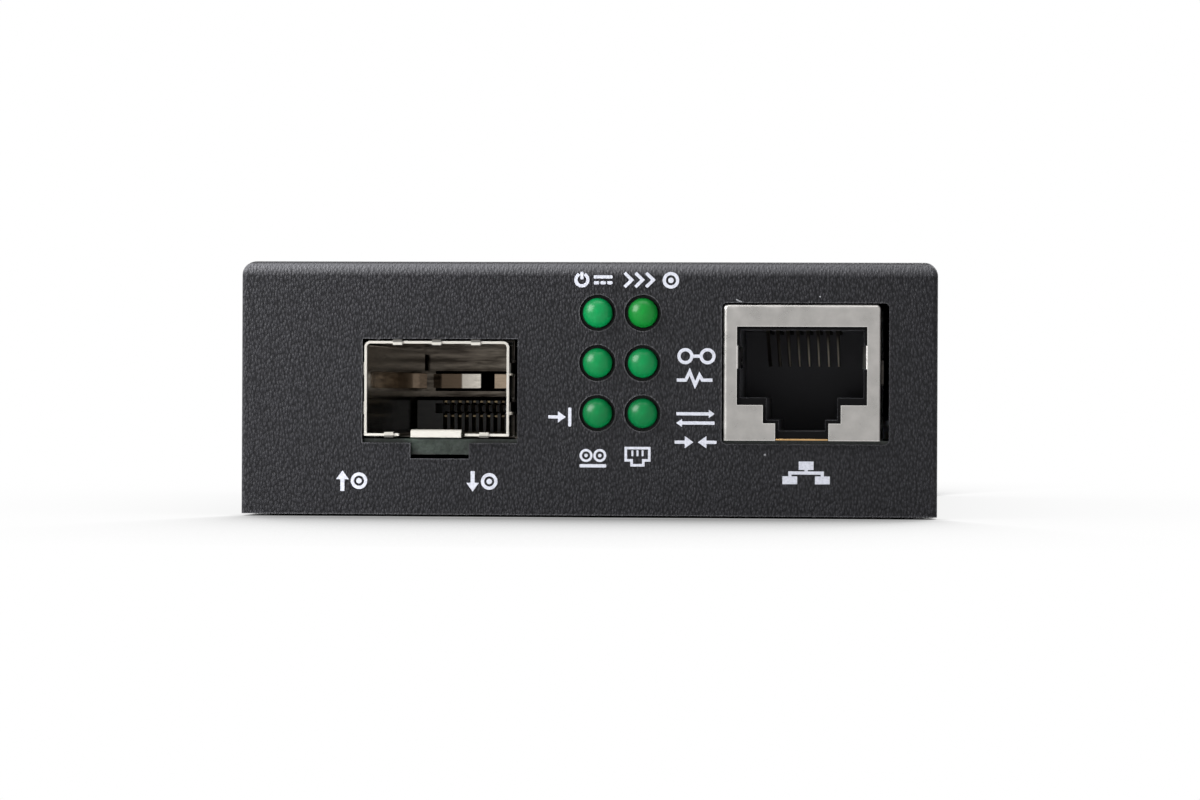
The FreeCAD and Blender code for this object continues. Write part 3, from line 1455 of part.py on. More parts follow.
def lead_back(row):
    """How far back the leads of a row turn down: the higher the lamp, the further."""
    return HOLDER_BACK + S["lead_first"] + row * S["lead_step"]


def make_lamp_leads():
    """Twelve leads, two from each lamp, bent down behind the holder and through the board."""
    body = new_body("lamp_leads")
    thick = S["lead_size"]
    start = LAMP_RIM_BACK + S["lamp_tail"]
    for row in range(LAMP_ROWS):
        z = LAMP_LOW + row * S["lamp_pitch_z"]
        back = lead_back(row)
        for column in range(2):
            x = LAMP_LEFT + column * S["lamp_pitch_x"] - S["lead_spread"]
            side = new_sketch(body, "YZ_Plane", x)
            outline(
                side,
                [
                    (start, z - thick / 2),
                    (back - thick, z - thick / 2),
                    (back - thick, BOARD_LOW - S["leg_reach"]),
                    (back, BOARD_LOW - S["leg_reach"]),
                    (back, z + thick / 2),
                    (start, z + thick / 2),
                ],
            )
            lead = pad(body, side, thick, both_ways=True)
            grid = new_sketch(body, "XZ_Plane", -back)
            circle(grid, 0, 0, 1)
            repeat(body, [lead], grid, "H_Axis", 2 * S["lead_spread"], 2)


def make_lamp_holder():
    """The black block that seats the lamps: a drilled plate between two cheeks that stand on the board."""
    body = new_body("lamp_holder")
    margin = S["lamp_rim_radius"] + S["holder_margin"]
    left = LAMP_LEFT - margin
    right = LAMP_LEFT + S["lamp_pitch_x"] + margin
    top = LAMP_LOW + 2 * S["lamp_pitch_z"] + margin
    plan = new_sketch(body, "XY_Plane", BOARD_TOP)
    cheek = S["holder_cheek"]
    end = HOLDER_FRONT + S["holder_depth"]
    outline(
        plan,
        [
            (left, HOLDER_FRONT),
            (right, HOLDER_FRONT),
            (right, end),
            (right - cheek, end),
            (right - cheek, HOLDER_BACK),
            (left + cheek, HOLDER_BACK),
            (left + cheek, end),
            (left, end),
        ],
    )
    block = pad(body, plan, top - BOARD_TOP)
    round_edges(
        body,
        block,
        S["holder_depth"] / 2,
        lambda at, span: near(at.z, top) and near(at.y, end),
        kind="Chamfer",
    )
    seat = new_sketch(body, "XZ_Plane", -HOLDER_FRONT)
    circle(seat, LAMP_LEFT, LAMP_LOW, S["lamp_radius"] + S["lamp_seat_gap"])
    hole = pocket(body, seat, S["holder_plate"])
    repeat(body, [hole], seat, "H_Axis", S["lamp_pitch_x"], 2, ("V_Axis", S["lamp_pitch_z"], 3))


def inlet_leg_places():
    """Where the power inlet's three legs pass through the board: for the pin, the sleeve and the switch."""
    x = S["inlet_from_centre"]
    beside = x - S["inlet_width"] / 2 - S["inlet_leg_sheet"] / 2
    return [
        (x, INLET_REAR - S["inlet_leg_inner"]),
        (x, INLET_REAR - S["inlet_leg_sleeve"]),
        (beside, INLET_REAR - S["inlet_leg_side"]),
    ]


def inlet_leaf_top():
    """Height of the sprung leaf's flat part, just below the bore."""
    return INLET_Z - S["inlet_bore"] - S["inlet_leaf_rise"] / 2


def make_inlet_body():
    """The moulded power inlet: a block with a round mouth towards the rear panel."""
    body = new_body("power_inlet_body")
    x, half = S["inlet_from_centre"], S["inlet_width"] / 2
    face = new_sketch(body, "XZ_Plane", -INLET_REAR)
    rectangle(face, x - half, BOARD_TOP, x + half, BOARD_TOP + S["inlet_height"])
    block = pad(body, face, S["inlet_length"])
    round_edges(
        body,
        block,
        S["inlet_width"] * INLET_CHAMFER_SHARE,
        lambda at, span: near(at.z, BOARD_TOP + S["inlet_height"]) and span.YLength > 1,
        kind="Chamfer",
    )
    mouth = new_sketch(body, "XZ_Plane", -INLET_REAR)
    circle(mouth, x, INLET_Z, S["inlet_bore"])
    pocket(body, mouth, S["inlet_bore_depth"], reverse=True)
    width, thick = S["inlet_leg_width"] / 2, S["inlet_leg_sheet"] / 2
    slots = new_sketch(body, "XY_Plane", BOARD_TOP)
    pin_leg, sleeve_leg = inlet_leg_places()[0], inlet_leg_places()[1]
    rectangle(slots, x - width, pin_leg[1] - thick, x + width, pin_leg[1] + thick)
    pocket(body, slots, S["inlet_leg_root"], reverse=True)
    way = new_sketch(body, "YZ_Plane", x)
    spare = S["inlet_leaf_rise"]
    rectangle(way, sleeve_leg[1] - thick, BOARD_TOP, sleeve_leg[1] + thick, inlet_leaf_top())
    pocket(body, way, S["inlet_leg_width"], both_ways=True)
    groove = new_sketch(body, "YZ_Plane", x)
    low = inlet_leaf_top() - 2 * thick
    rectangle(groove, sleeve_leg[1] - thick, low, INLET_REAR - spare, INLET_Z)
    pocket(body, groove, S["inlet_leaf_width"] + spare, both_ways=True)


def make_inlet_pin():
    """The inlet's centre pin, standing on the floor of the bore."""
    body = new_body("power_inlet_pin")
    base = INLET_REAR - S["inlet_bore_depth"]
    face = new_sketch(body, "XZ_Plane", -base)
    circle(face, S["inlet_from_centre"], INLET_Z, S["inlet_pin_radius"])
    pin = pad(body, face, S["inlet_pin_length"], reverse=True)
    round_edges(
        body,
        pin,
        S["inlet_pin_radius"] / 2,
        lambda at, span: near(span.YMin, base + S["inlet_pin_length"]) and span.YLength < TINY,
        kind="Chamfer",
    )


def make_inlet_contacts():
    """The inlet's legs: for the pin, for the sprung leaf that a plug's sleeve rubs on, and at the side."""
    body = new_body("power_inlet_contacts")
    low = BOARD_LOW - S["leg_reach"]
    width, thick = S["inlet_leg_width"] / 2, S["inlet_leg_sheet"] / 2
    pin_leg, sleeve_leg, side_leg = inlet_leg_places()
    straight = new_sketch(body, "XY_Plane", low)
    rectangle(straight, pin_leg[0] - width, pin_leg[1] - thick, pin_leg[0] + width, pin_leg[1] + thick)
    pad(body, straight, BOARD_TOP + S["inlet_leg_root"] - low)
    beside = new_sketch(body, "XY_Plane", low)
    rectangle(beside, side_leg[0] - thick, side_leg[1] - width, side_leg[0] + thick, side_leg[1] + width)
    pad(body, beside, BOARD_TOP + 2 * S["inlet_leg_root"] - low)
    leaf = new_sketch(body, "YZ_Plane", sleeve_leg[0])
    top, rise = inlet_leaf_top(), S["inlet_leaf_rise"]
    y, run = sleeve_leg[1], S["inlet_leg_sleeve"] - 2 * S["inlet_leaf_rise"]
    outline(
        leaf,
        [
            (y - thick, low),
            (y + thick, low),
            (y + thick, top - 2 * thick),
            (y + run / 2, top - 2 * thick),
            (y + run * 3 / 4, top + rise - thick),
            (y + run, top - thick),
            (y + run, top),
            (y + run * 3 / 4, top + rise),
            (y + run / 2, top),
            (y - thick, top),
        ],
    )
    pad(body, leaf, S["inlet_leaf_width"], both_ways=True)


def place(body, x, y):
    """Stands a body that is drawn about its own origin on the board."""
    bind(body, "Placement.Base.x", x)
    bind(body, "Placement.Base.y", y)
    bind(body, "Placement.Base.z", BOARD_TOP)


def make_moulding(label, width, depth, height, x, y):
    """A moulded package with chamfered upper edges, just clear of the board."""
    body = new_body(label)
    plan = new_sketch(body, "XY_Plane", S["package_gap"])
    rectangle(plan, -width / 2, -depth / 2, width / 2, depth / 2)
    block = pad(body, plan, height)
    top = S["package_gap"] + height
    round_edges(body, block, S["package_chamfer"], lambda at, span: near(at.z, top), kind="Chamfer")
    place(body, x, y)


def lead_outline(sketch, start, reach, level):
    """A gull-wing lead's section: out from the package, down to the board and out along it."""
    thick = S["package_lead_sheet"]
    knee = start + reach / 3
    outline(
        sketch,
        [
            (start, level),
            (knee, level),
            (knee + thick, thick),
            (start + reach, thick),
            (start + reach, 0),
            (knee, 0),
            (knee - thick, level - thick),
            (start, level - thick),
        ],
    )


def make_leads(label, half_width, level, pitch, count, rows, x, y):
    """Rows of gull-wing leads round a package: two or four rows, turned about its middle."""
    body = new_body(label)
    side = new_sketch(body, "XZ_Plane", (count - 1) * pitch / 2)
    lead_outline(side, half_width, S["package_lead_reach"], level)
    lead = pad(body, side, S["package_lead_width"], both_ways=True)
    plan = new_sketch(body, "XY_Plane")
    circle(plan, 0, 0, 1)
    repeat(body, [lead], plan, "V_Axis", pitch, count)
    made = body.newObject("PartDesign::PolarPattern", f"{label}_turn")
    made.TransformMode = "Whole shape"
    made.Axis = (plan, ["N_Axis"])
    made.Angle = 360
    made.Occurrences = rows
    body.Tip = made
    place(body, x, y)
    doc.recompute()


def make_packages():
    """The converter chip, the line transformer and the small memory, each with its leads."""
    chip = (S["chip_right"], BOARD_FRONT + S["chip_back"])
    half = S["chip_size"] / 2
    make_moulding("converter_chip", S["chip_size"], S["chip_size"], S["chip_height"], *chip)
    level = S["package_gap"] + S["chip_height"] / 2
    make_leads("converter_chip_leads", half, level, S["chip_lead_pitch"], S["chip_lead_count"], 4, *chip)
    coils = (JACK_X + S["filter_right"], BOARD_FRONT + S["filter_back"])
    make_moulding("line_transformer", S["filter_width"], S["filter_length"], S["filter_height"], *coils)
    level = S["package_gap"] + S["filter_height"] / 3
    pitch, count = S["filter_lead_pitch"], S["filter_lead_count"]
    make_leads("line_transformer_leads", S["filter_width"] / 2, level, pitch, count, 2, *coils)
    memory = (S["memory_right"] - BOARD_HALF, BOARD_FRONT + S["memory_back"])
    make_moulding("memory_chip", S["memory_width"], S["memory_length"], S["memory_height"], *memory)
    level = S["package_gap"] + S["memory_height"] / 2
    pitch, count = S["memory_lead_pitch"], S["memory_lead_count"]
    make_leads("memory_chip_leads", S["memory_width"] / 2, level, pitch, count, 2, *memory)


def make_regulator():
    """The voltage regulator, and its tab at one side with three leads at the other."""
    x, y = S["regulator_right"], BOARD_REAR - S["regulator_front"]
    depth, height = S["regulator_depth"], S["regulator_height"]
    make_moulding("voltage_regulator", S["regulator_width"], depth, height, x, y)
    body = new_body("voltage_regulator_leads")
    side = new_sketch(body, "YZ_Plane", -S["regulator_lead_pitch"])
    lead_outline(side, depth / 2, S["package_lead_reach"], S["package_gap"] + height / 2)
    lead = pad(body, side, S["package_lead_width"], both_ways=True)
    plan = new_sketch(body, "XY_Plane")
    circle(plan, 0, 0, 1)
    repeat(body, [lead], plan, "H_Axis", S["regulator_lead_pitch"], 3)
    far = new_sketch(body, "YZ_Plane")
    thick = S["package_lead_sheet"]
    level = S["package_gap"] + height / 2
    start, reach = -depth / 2, S["package_lead_reach"]
    outline(
        far,
        [
            (start, level),
            (start - reach / 3, level),
            (start - reach / 3 - thick, thick),
            (start - reach, thick),
            (start - reach, 0),
            (start - reach / 3, 0),
            (start - reach / 3 + thick, level - thick),
            (start, level - thick),
        ],
    )
    pad(body, far, S["regulator_tab"], both_ways=True)
    place(body, x, y)


def make_can_crystal():
    """The crystal in its drawn steel can: a flat case with round ends, on a rolled rim."""
    body = new_body("crystal_can")
    half, end, rim = S["can_length"] / 2, S["can_width"] / 2, S["can_rim"]
    for grow, height in ((rim, rim), (as_size(0), S["can_height"])):
        plan = new_sketch(body, "XY_Plane", S["package_gap"])
        stadium(plan, half + grow, end + grow)
        made = pad(body, plan, height)
    top = S["package_gap"] + S["can_height"]
    round_edges(body, made, S["can_rim"], lambda at, span: near(at.z, top), kind="Chamfer")
    place(body, S["can_right"], BOARD_FRONT + S["can_back"])


def stadium(sketch, half, end):
    """A flat oval about the sketch's origin: straight along Y, with round ends."""
    reach = half - end
    corners = [(end, -reach), (end, reach), (-end, reach), (-end, -reach)]
    places = [FreeCAD.Vector(a.value, b.value, 0) for a, b in corners]
    far_end = FreeCAD.Vector(0, half.value, 0)
    near_end = FreeCAD.Vector(0, -half.value, 0)
    sketch.addGeometry(Part.LineSegment(places[0], places[1]))
    sketch.addGeometry(Part.Arc(places[1], far_end, places[2]))
    sketch.addGeometry(Part.LineSegment(places[2], places[3]))
    sketch.addGeometry(Part.Arc(places[3], near_end, places[0]))
    for first, second in ((0, 1), (1, 2), (2, 3), (3, 0)):
        join_ends(sketch, first, second)
    pin_point(sketch, 0, 1, *corners[0])
    pin_point(sketch, 0, 2, *corners[1])
    pin_point(sketch, 2, 1, *corners[2])
    pin_point(sketch, 2, 2, *corners[3])
    for arc, y in ((1, reach), (3, -reach)):
        index = sketch.addConstraint(Sketcher.Constraint("DistanceY", -1, 1, arc, 3, y.value))
        sketch.setExpression(f"Constraints[{index}]", y.text)


def join_ends(sketch, first, second):
    """Joins two edges at the ends that lie together."""
    edges = sketch.Geometry
    for i, a in ((1, edges[first].StartPoint), (2, edges[first].EndPoint)):
        for j, b in ((1, edges[second].StartPoint), (2, edges[second].EndPoint)):
            if a.distanceToPoint(b) < TINY:
                sketch.addConstraint(Sketcher.Constraint("Coincident", first, i, second, j))


def make_capacitor(label, radius, height, x, y):
    """An electrolytic capacitor: a crimped can, turned as one form, with a dished top."""
    body = new_body(label)
    half = new_sketch(body, "XZ_Plane")
    crimp, bead = radius * CRIMP_SHARE, S["capacitor_bead"]
    outline(
        half,
        [
            (0, 0),
            (radius, 0),
            (radius, bead),
            (crimp, 1.5 * bead),
            (crimp, 2.5 * bead),
            (radius, 3 * bead),
            (radius, height - bead / 2),
            (radius - bead / 2, height),
            (radius - bead, height),
            (radius - 1.5 * bead, height - bead / 2),
            (0, height - bead / 2),
        ],
    )
    turned(body, "Revolution", half, "V_Axis")
    place(body, x, y)


def make_coil():
    """The power inductor: a ferrite drum in a square ferrite ring, on the board."""
    body = new_body("power_inductor")
    half, cut = S["coil_size"] / 2, S["coil_size"] * COIL_CORNER_SHARE
    plan = new_sketch(body, "XY_Plane")
    outline(
        plan,
        [
            (cut - half, -half),
            (half - cut, -half),
            (half, cut - half),
            (half, half - cut),
            (half - cut, half),
            (cut - half, half),
            (-half, half - cut),
            (-half, cut - half),
        ],
    )
    pad(body, plan, S["coil_height"])
    well = new_sketch(body, "XY_Plane", S["coil_height"])
    circle(well, 0, 0, S["coil_radius"])
    circle(well, 0, 0, S["coil_radius"] - S["coil_gap"])
    pocket(body, well, S["coil_height"] / 2)
    place(body, S["coil_right"], BOARD_REAR - S["coil_front"])


def make_small_parts(label, x, y, columns, rows):
    """A field of small two-ended parts, as separate solids."""
    body = new_body(label)
    plan = new_sketch(body, "XY_Plane")
    rectangle(plan, 0, 0, S["small_part_length"], S["small_part_width"])
    one = pad(body, plan, S["small_part_height"])
    pitch = S["small_part_pitch"]
    repeat(body, [one], plan, "H_Axis", pitch, columns, ("V_Axis", pitch, rows))
    place(body, x, y)


def report_and_write():
    """Checks every object and every piece, then writes one file a node."""
    doc.recompute()
    for thing in doc.Objects:
        if "Invalid" in thing.State or "Error" in thing.State:
            raise RuntimeError(f"{thing.Label} did not build: {thing.State}")
    os.makedirs("parts", exist_ok=True)
    for node in nodes:
        shape = node.Shape
        if shape.isNull() or not shape.isValid() or not shape.Solids:
            raise RuntimeError(f"{node.Label} has no sound shape")
        shape.exportStep(f"parts/{node.Label}.step")
        box = shape.BoundBox
        print(f"{node.Label}: {len(shape.Solids)} solids, {shape.Volume:.2f} mm3")
        print(f"    x {box.XMin:.2f} {box.XMax:.2f}, y {box.YMin:.2f} {box.YMax:.2f}")
        print(f"    z {box.ZMin:.2f} {box.ZMax:.2f}")


make_cover_shell()
make_base_tray()
make_board_standoffs()
make_board_screws()
make_cover_screws()
make_circuit_board()
make_cage_body()
make_cage_floor()
make_finger_ring()
make_host_housing()
make_host_contacts()
make_jack_shield()
make_jack_insert()
make_jack_wires()
for lamp_label, lamp_column, lamp_row in LAMPS:
    make_lamp(lamp_label, lamp_column, lamp_row)
make_lamp_leads()
make_lamp_holder()
make_inlet_body()
make_inlet_pin()
make_inlet_contacts()
make_packages()
make_regulator()
make_can_crystal()
large_cap_y = BOARD_REAR - S["large_cap_front"]
make_capacitor(
    "capacitor_large", S["large_cap_radius"], S["large_cap_height"], S["large_cap_right"], large_cap_y
)
small_cap_y = BOARD_REAR - S["small_cap_front"]
make_capacitor(
    "capacitor_small", S["small_cap_radius"], S["small_cap_height"], S["small_cap_right"], small_cap_y
)
make_coil()
make_small_parts(
    "chip_resistors",
    BOARD_HALF + S["resistor_right"],
    BOARD_FRONT + S["resistor_back"],
    S["resistor_columns"],
    S["resistor_rows"],
)
make_small_parts(
    "chip_capacitors",
    S["decoupler_right"] - BOARD_HALF,
    BOARD_FRONT + S["decoupler_back"],
    S["decoupler_columns"],
    S["decoupler_rows"],
)
report_and_write()
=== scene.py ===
import math

import bmesh
import bpy
from bpy.props import FloatProperty, FloatVectorProperty, PointerProperty
from mathutils import Matrix, Vector


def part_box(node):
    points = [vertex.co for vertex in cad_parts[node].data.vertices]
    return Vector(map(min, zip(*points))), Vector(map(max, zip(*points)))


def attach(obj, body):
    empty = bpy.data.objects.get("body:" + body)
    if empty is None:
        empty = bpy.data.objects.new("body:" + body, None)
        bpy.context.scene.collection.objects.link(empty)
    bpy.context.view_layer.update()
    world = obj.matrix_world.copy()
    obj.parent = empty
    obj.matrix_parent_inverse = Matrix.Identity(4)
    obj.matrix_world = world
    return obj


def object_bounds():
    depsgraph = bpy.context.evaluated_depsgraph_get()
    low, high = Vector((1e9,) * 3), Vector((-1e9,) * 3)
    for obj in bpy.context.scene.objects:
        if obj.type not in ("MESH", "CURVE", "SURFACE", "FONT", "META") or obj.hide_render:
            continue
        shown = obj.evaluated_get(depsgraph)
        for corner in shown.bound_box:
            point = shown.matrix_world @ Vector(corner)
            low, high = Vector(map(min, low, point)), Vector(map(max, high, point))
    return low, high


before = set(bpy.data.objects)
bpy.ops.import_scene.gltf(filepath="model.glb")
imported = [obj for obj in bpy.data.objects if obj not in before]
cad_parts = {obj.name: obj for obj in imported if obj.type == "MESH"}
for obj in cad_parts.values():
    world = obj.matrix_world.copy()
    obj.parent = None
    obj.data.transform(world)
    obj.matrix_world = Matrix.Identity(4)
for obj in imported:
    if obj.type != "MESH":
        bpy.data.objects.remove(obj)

bl_info = {
    "name": "Fibre Media Converter",
    "version": (1, 0, 0),
    "blender": (4, 5, 0),
    "location": "View3D > Sidebar > Converter",
    "description": "Dresses the packed media converter with its finishes, panel symbols and springs",
    "category": "Object",
}

CAD_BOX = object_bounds()
MM = 0.001
PANEL_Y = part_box("cover_shell")[0].y
REAR_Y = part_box("base_tray")[1].y
TOP_Z = CAD_BOX[1].z
WIRES = 8
WIRE = 0.45 * MM  # the thickness of one of them
# Pale cut edges and spring noses are painted highlight.
RIM_HIGHLIGHT = "#a9a69f"  # the cage's cut edge, and the noses of the springs that clip over it


def linear(code):
    """An sRGB hex colour as linear red, green, blue and alpha."""
    parts = [int(code[i : i + 2], 16) / 255 for i in (1, 3, 5)]
    return tuple(c / 12.92 if c <= 0.04045 else ((c + 0.055) / 1.055) ** 2.4 for c in parts) + (1.0,)


def colour(name, description, code):
    """A colour that a user may change."""
    return FloatVectorProperty(
        name=name, description=description, default=linear(code), size=4, min=0, max=1, subtype="COLOR"
    )


def length(name, description, default):
    """A length in metres that a user may change."""
    return FloatProperty(name=name, description=description, default=default, min=0, unit="LENGTH")


class ConverterFinish(bpy.types.PropertyGroup):
    coat: colour("Powder coat", "Colour of the case's textured coat", "#1b1b1d")
    # The paler crests are painted highlight on the wrinkles.
    crest_highlight: colour("Coat crests", "Colour where the coat's wrinkles stand proud", "#2b2b2e")
    ink: colour("Panel ink", "Colour of the symbols printed on the case", "#bfc1cb")
    nickel: colour("Nickel", "Colour of the plated jack shield and pillars", "#aeaba8")
    tin: colour("Bright tin", "Colour of the transceiver cage's sheet", "#a39b90")
    # The latch lip's pale colour is painted highlight.
    rim: colour("Latch lip", "Colour of the latch tongue's bright lip", "#b9b6af")
    gold: colour("Gold", "Colour of the strip at the foot of the jack's mouth", "#b08d60")
    nylon: colour("Nylon", "Colour of the black mouldings", "#0c0c0d")
    lens: colour("Lens", "Colour of the green lamps", "#07a056")
    lens_speed: colour("Speed lens", "Colour of the lamp at the top right, a yellower green", "#109537")
    mask: colour("Solder mask", "Colour of the circuit board", "#0f3d22")


class ConverterSizes(bpy.types.PropertyGroup):
    grain: length("Coat grain", "Size of one wrinkle in the coat", 0.24 * MM)
    ink_build: length("Ink build", "Thickness of a printed symbol", 0.025 * MM)
    stroke: length("Stroke", "Width of a printed line", 0.33 * MM)
    camera_distance: length("Camera distance", "From the camera to the front panel", 400 * MM)


# Materials


def add_node(tree, kind, settings=None, links=None):
    """Adds a node, sets its properties and inputs, and joins what feeds it."""
    made = tree.nodes.new(kind)
    for key, value in (settings or {}).items():
        if isinstance(key, str) and hasattr(made, key):
            setattr(made, key, value)
        else:
            made.inputs[key].default_value = value
    for key, source in (links or {}).items():
        tree.links.new(source, made.inputs[key])
    return made


def new_material(name, base, roughness, **settings):
    """A material with its constant numbers on the shader's own sockets, and Object coordinates to draw on."""
    material = bpy.data.materials.new(name)
    material.use_nodes = True
    tree = material.node_tree
    shader = tree.nodes["Principled BSDF"]
    shader.inputs["Base Color"].default_value = base
    shader.inputs["Roughness"].default_value = roughness
    for key, value in settings.items():
        shader.inputs[key.replace("_", " ")].default_value = value
    place = add_node(tree, "ShaderNodeTexCoord").outputs["Object"]
    return material, tree, shader, place


def add_bump(tree, shader, height, distance, strength=1.0):
    """Feeds a height pattern to the shader as bump, distance deep, in metres."""
    bump = add_node(tree, "ShaderNodeBump", {"Strength": strength, "Distance": distance}, {"Height": height})
    tree.links.new(bump.outputs["Normal"], shader.inputs["Normal"])


def noise(tree, place, size, detail=2.0, roughness=0.5, distortion=0.0):
    """Noise whose blobs are about as large as size, in metres."""
    settings = {"Scale": 1 / size, "Detail": detail, "Roughness": roughness, "Distortion": distortion}
    return add_node(tree, "ShaderNodeTexNoise", settings, {"Vector": place}).outputs["Fac"]


def ramp(tree, source, stops):
    """A colour ramp through (place, colour) stops."""
    made = add_node(tree, "ShaderNodeValToRGB", None, {"Fac": source})
    while len(made.color_ramp.elements) < len(stops):
        made.color_ramp.elements.new(0.5)
    for element, (at, value) in zip(made.color_ramp.elements, stops):
        element.position = at
        element.color = value
    return made.outputs["Color"]


def grey(level):
    """A neutral value for a ramp."""
    return (level, level, level, 1.0)


def edges(tree, radius):
    """1 where an edge lies within radius, and 0 on the flat."""
    rounded = add_node(tree, "ShaderNodeBevel", {"samples": 4, "Radius": radius}).outputs["Normal"]
    flat = add_node(tree, "ShaderNodeNewGeometry").outputs["Normal"]
    alike = add_node(
        tree, "ShaderNodeVectorMath", {"operation": "DOT_PRODUCT"}, {0: rounded, 1: flat}
    ).outputs["Value"]
    return add_node(
        tree, "ShaderNodeMapRange", {"From Min": 0.995, "From Max": 0.85}, {"Value": alike}
    ).outputs["Result"]


def blend(tree, share, first, second):
    """The first colour where share is 0 and the second where it is 1. Each is a colour or a socket."""
    settings, links = {"data_type": "RGBA"}, {0: share}
    for place, value in ((6, first), (7, second)):
        (settings if isinstance(value, (tuple, bpy.types.bpy_prop_array)) else links)[place] = value
    return add_node(tree, "ShaderNodeMix", settings, links).outputs[2]


def between(tree, place, axis, start, end):
    """0 before start, 1 past end, and even between, along one axis."""
    split = add_node(tree, "ShaderNodeSeparateXYZ", None, {"Vector": place})
    return add_node(
        tree, "ShaderNodeMapRange", {"From Min": start, "From Max": end}, {"Value": split.outputs[axis]}
    ).outputs["Result"]


def along_y(tree, place, start, end):
    """0 in front of start, 1 behind end, and even between."""
    return between(tree, place, "Y", start, end)


def times(tree, first, second):
    """The product of two shares."""
    return add_node(tree, "ShaderNodeMath", {"operation": "MULTIPLY"}, {0: first, 1: second}).outputs["Value"]


def textured_powder_coat():
    """Polyester powder baked on steel: a dull charcoal skin, leathery and wrinkled, painted paler as
    highlight on its crests and top bend, and paler at its edges, partly worn and partly painted highlight.
    """
    finish, sizes = bpy.context.scene.converter_finish, bpy.context.scene.converter_sizes
    material, tree, shader, place = new_material(
        "textured_powder_coat", finish.coat, 0.42, Specular_IOR_Level=0.1
    )
    # The wrinkles are longer than wide, and lean a little.
    lean = {"Rotation": (0.0, 0.25, 0.0), "Scale": (1.0, 0.6, 0.55)}
    slant = add_node(tree, "ShaderNodeMapping", lean, {"Vector": place}).outputs["Vector"]
    from_middle = add_node(
        tree, "ShaderNodeTexVoronoi", {"Scale": 1 / sizes.grain, "Randomness": 0.9}, {"Vector": slant}
    ).outputs["Distance"]
    wrinkle = ramp(tree, from_middle, [(0.1, grey(1.0)), (0.75, grey(0.0))])
    # The crests are painted paler, as highlight on the wrinkles.
    tone = ramp(tree, wrinkle, [(0.1, finish.coat), (0.8, finish.crest_highlight)])
    # A band along the top front bend is painted paler, as the highlight on the bend.
    bend_highlight = times(
        tree,
        between(tree, place, "Z", TOP_Z - 1.5 * MM, TOP_Z - 0.6 * MM),
        between(tree, place, "Z", TOP_Z - 0.14 * MM, TOP_Z - 0.3 * MM),
    )
    bend_highlight = times(tree, bend_highlight, along_y(tree, place, PANEL_Y + 1.1 * MM, PANEL_Y + 0.8 * MM))
    tone = blend(tree, bend_highlight, tone, linear("#4e4e51"))
    # The edges are painted paler: partly paint worn thin, partly painted highlight.
    tree.links.new(blend(tree, edges(tree, 0.25 * MM), tone, linear("#525255")), shader.inputs["Base Color"])
    # The wrinkles' depth can't be read from the photograph. This is what they need to show in the
    # render's soft light.
    add_bump(tree, shader, wrinkle, 0.072 * MM)
    return material


def satin_nickel():
    """Nickel plate on rolled sheet: a grey metal, faintly clouded, with a painted highlight on its cut edges.
    """
    finish = bpy.context.scene.converter_finish
    material, tree, shader, place = new_material("satin_nickel", finish.nickel, 0.3, Metallic=1.0)
    cloud = noise(tree, place, 1.6 * MM, 4.0, 0.6)
    tone = ramp(tree, cloud, [(0.3, linear("#9f9d9a")), (0.7, finish.nickel)])
    # Painted highlight on the cut edges.
    tree.links.new(blend(tree, edges(tree, 0.14 * MM), tone, linear("#eceae6")), shader.inputs["Base Color"])
    tree.links.new(ramp(tree, cloud, [(0.3, grey(0.24)), (0.7, grey(0.4))]), shader.inputs["Roughness"])
    add_bump(tree, shader, noise(tree, place, 0.28 * MM, 3.0), 0.008 * MM)
    return material


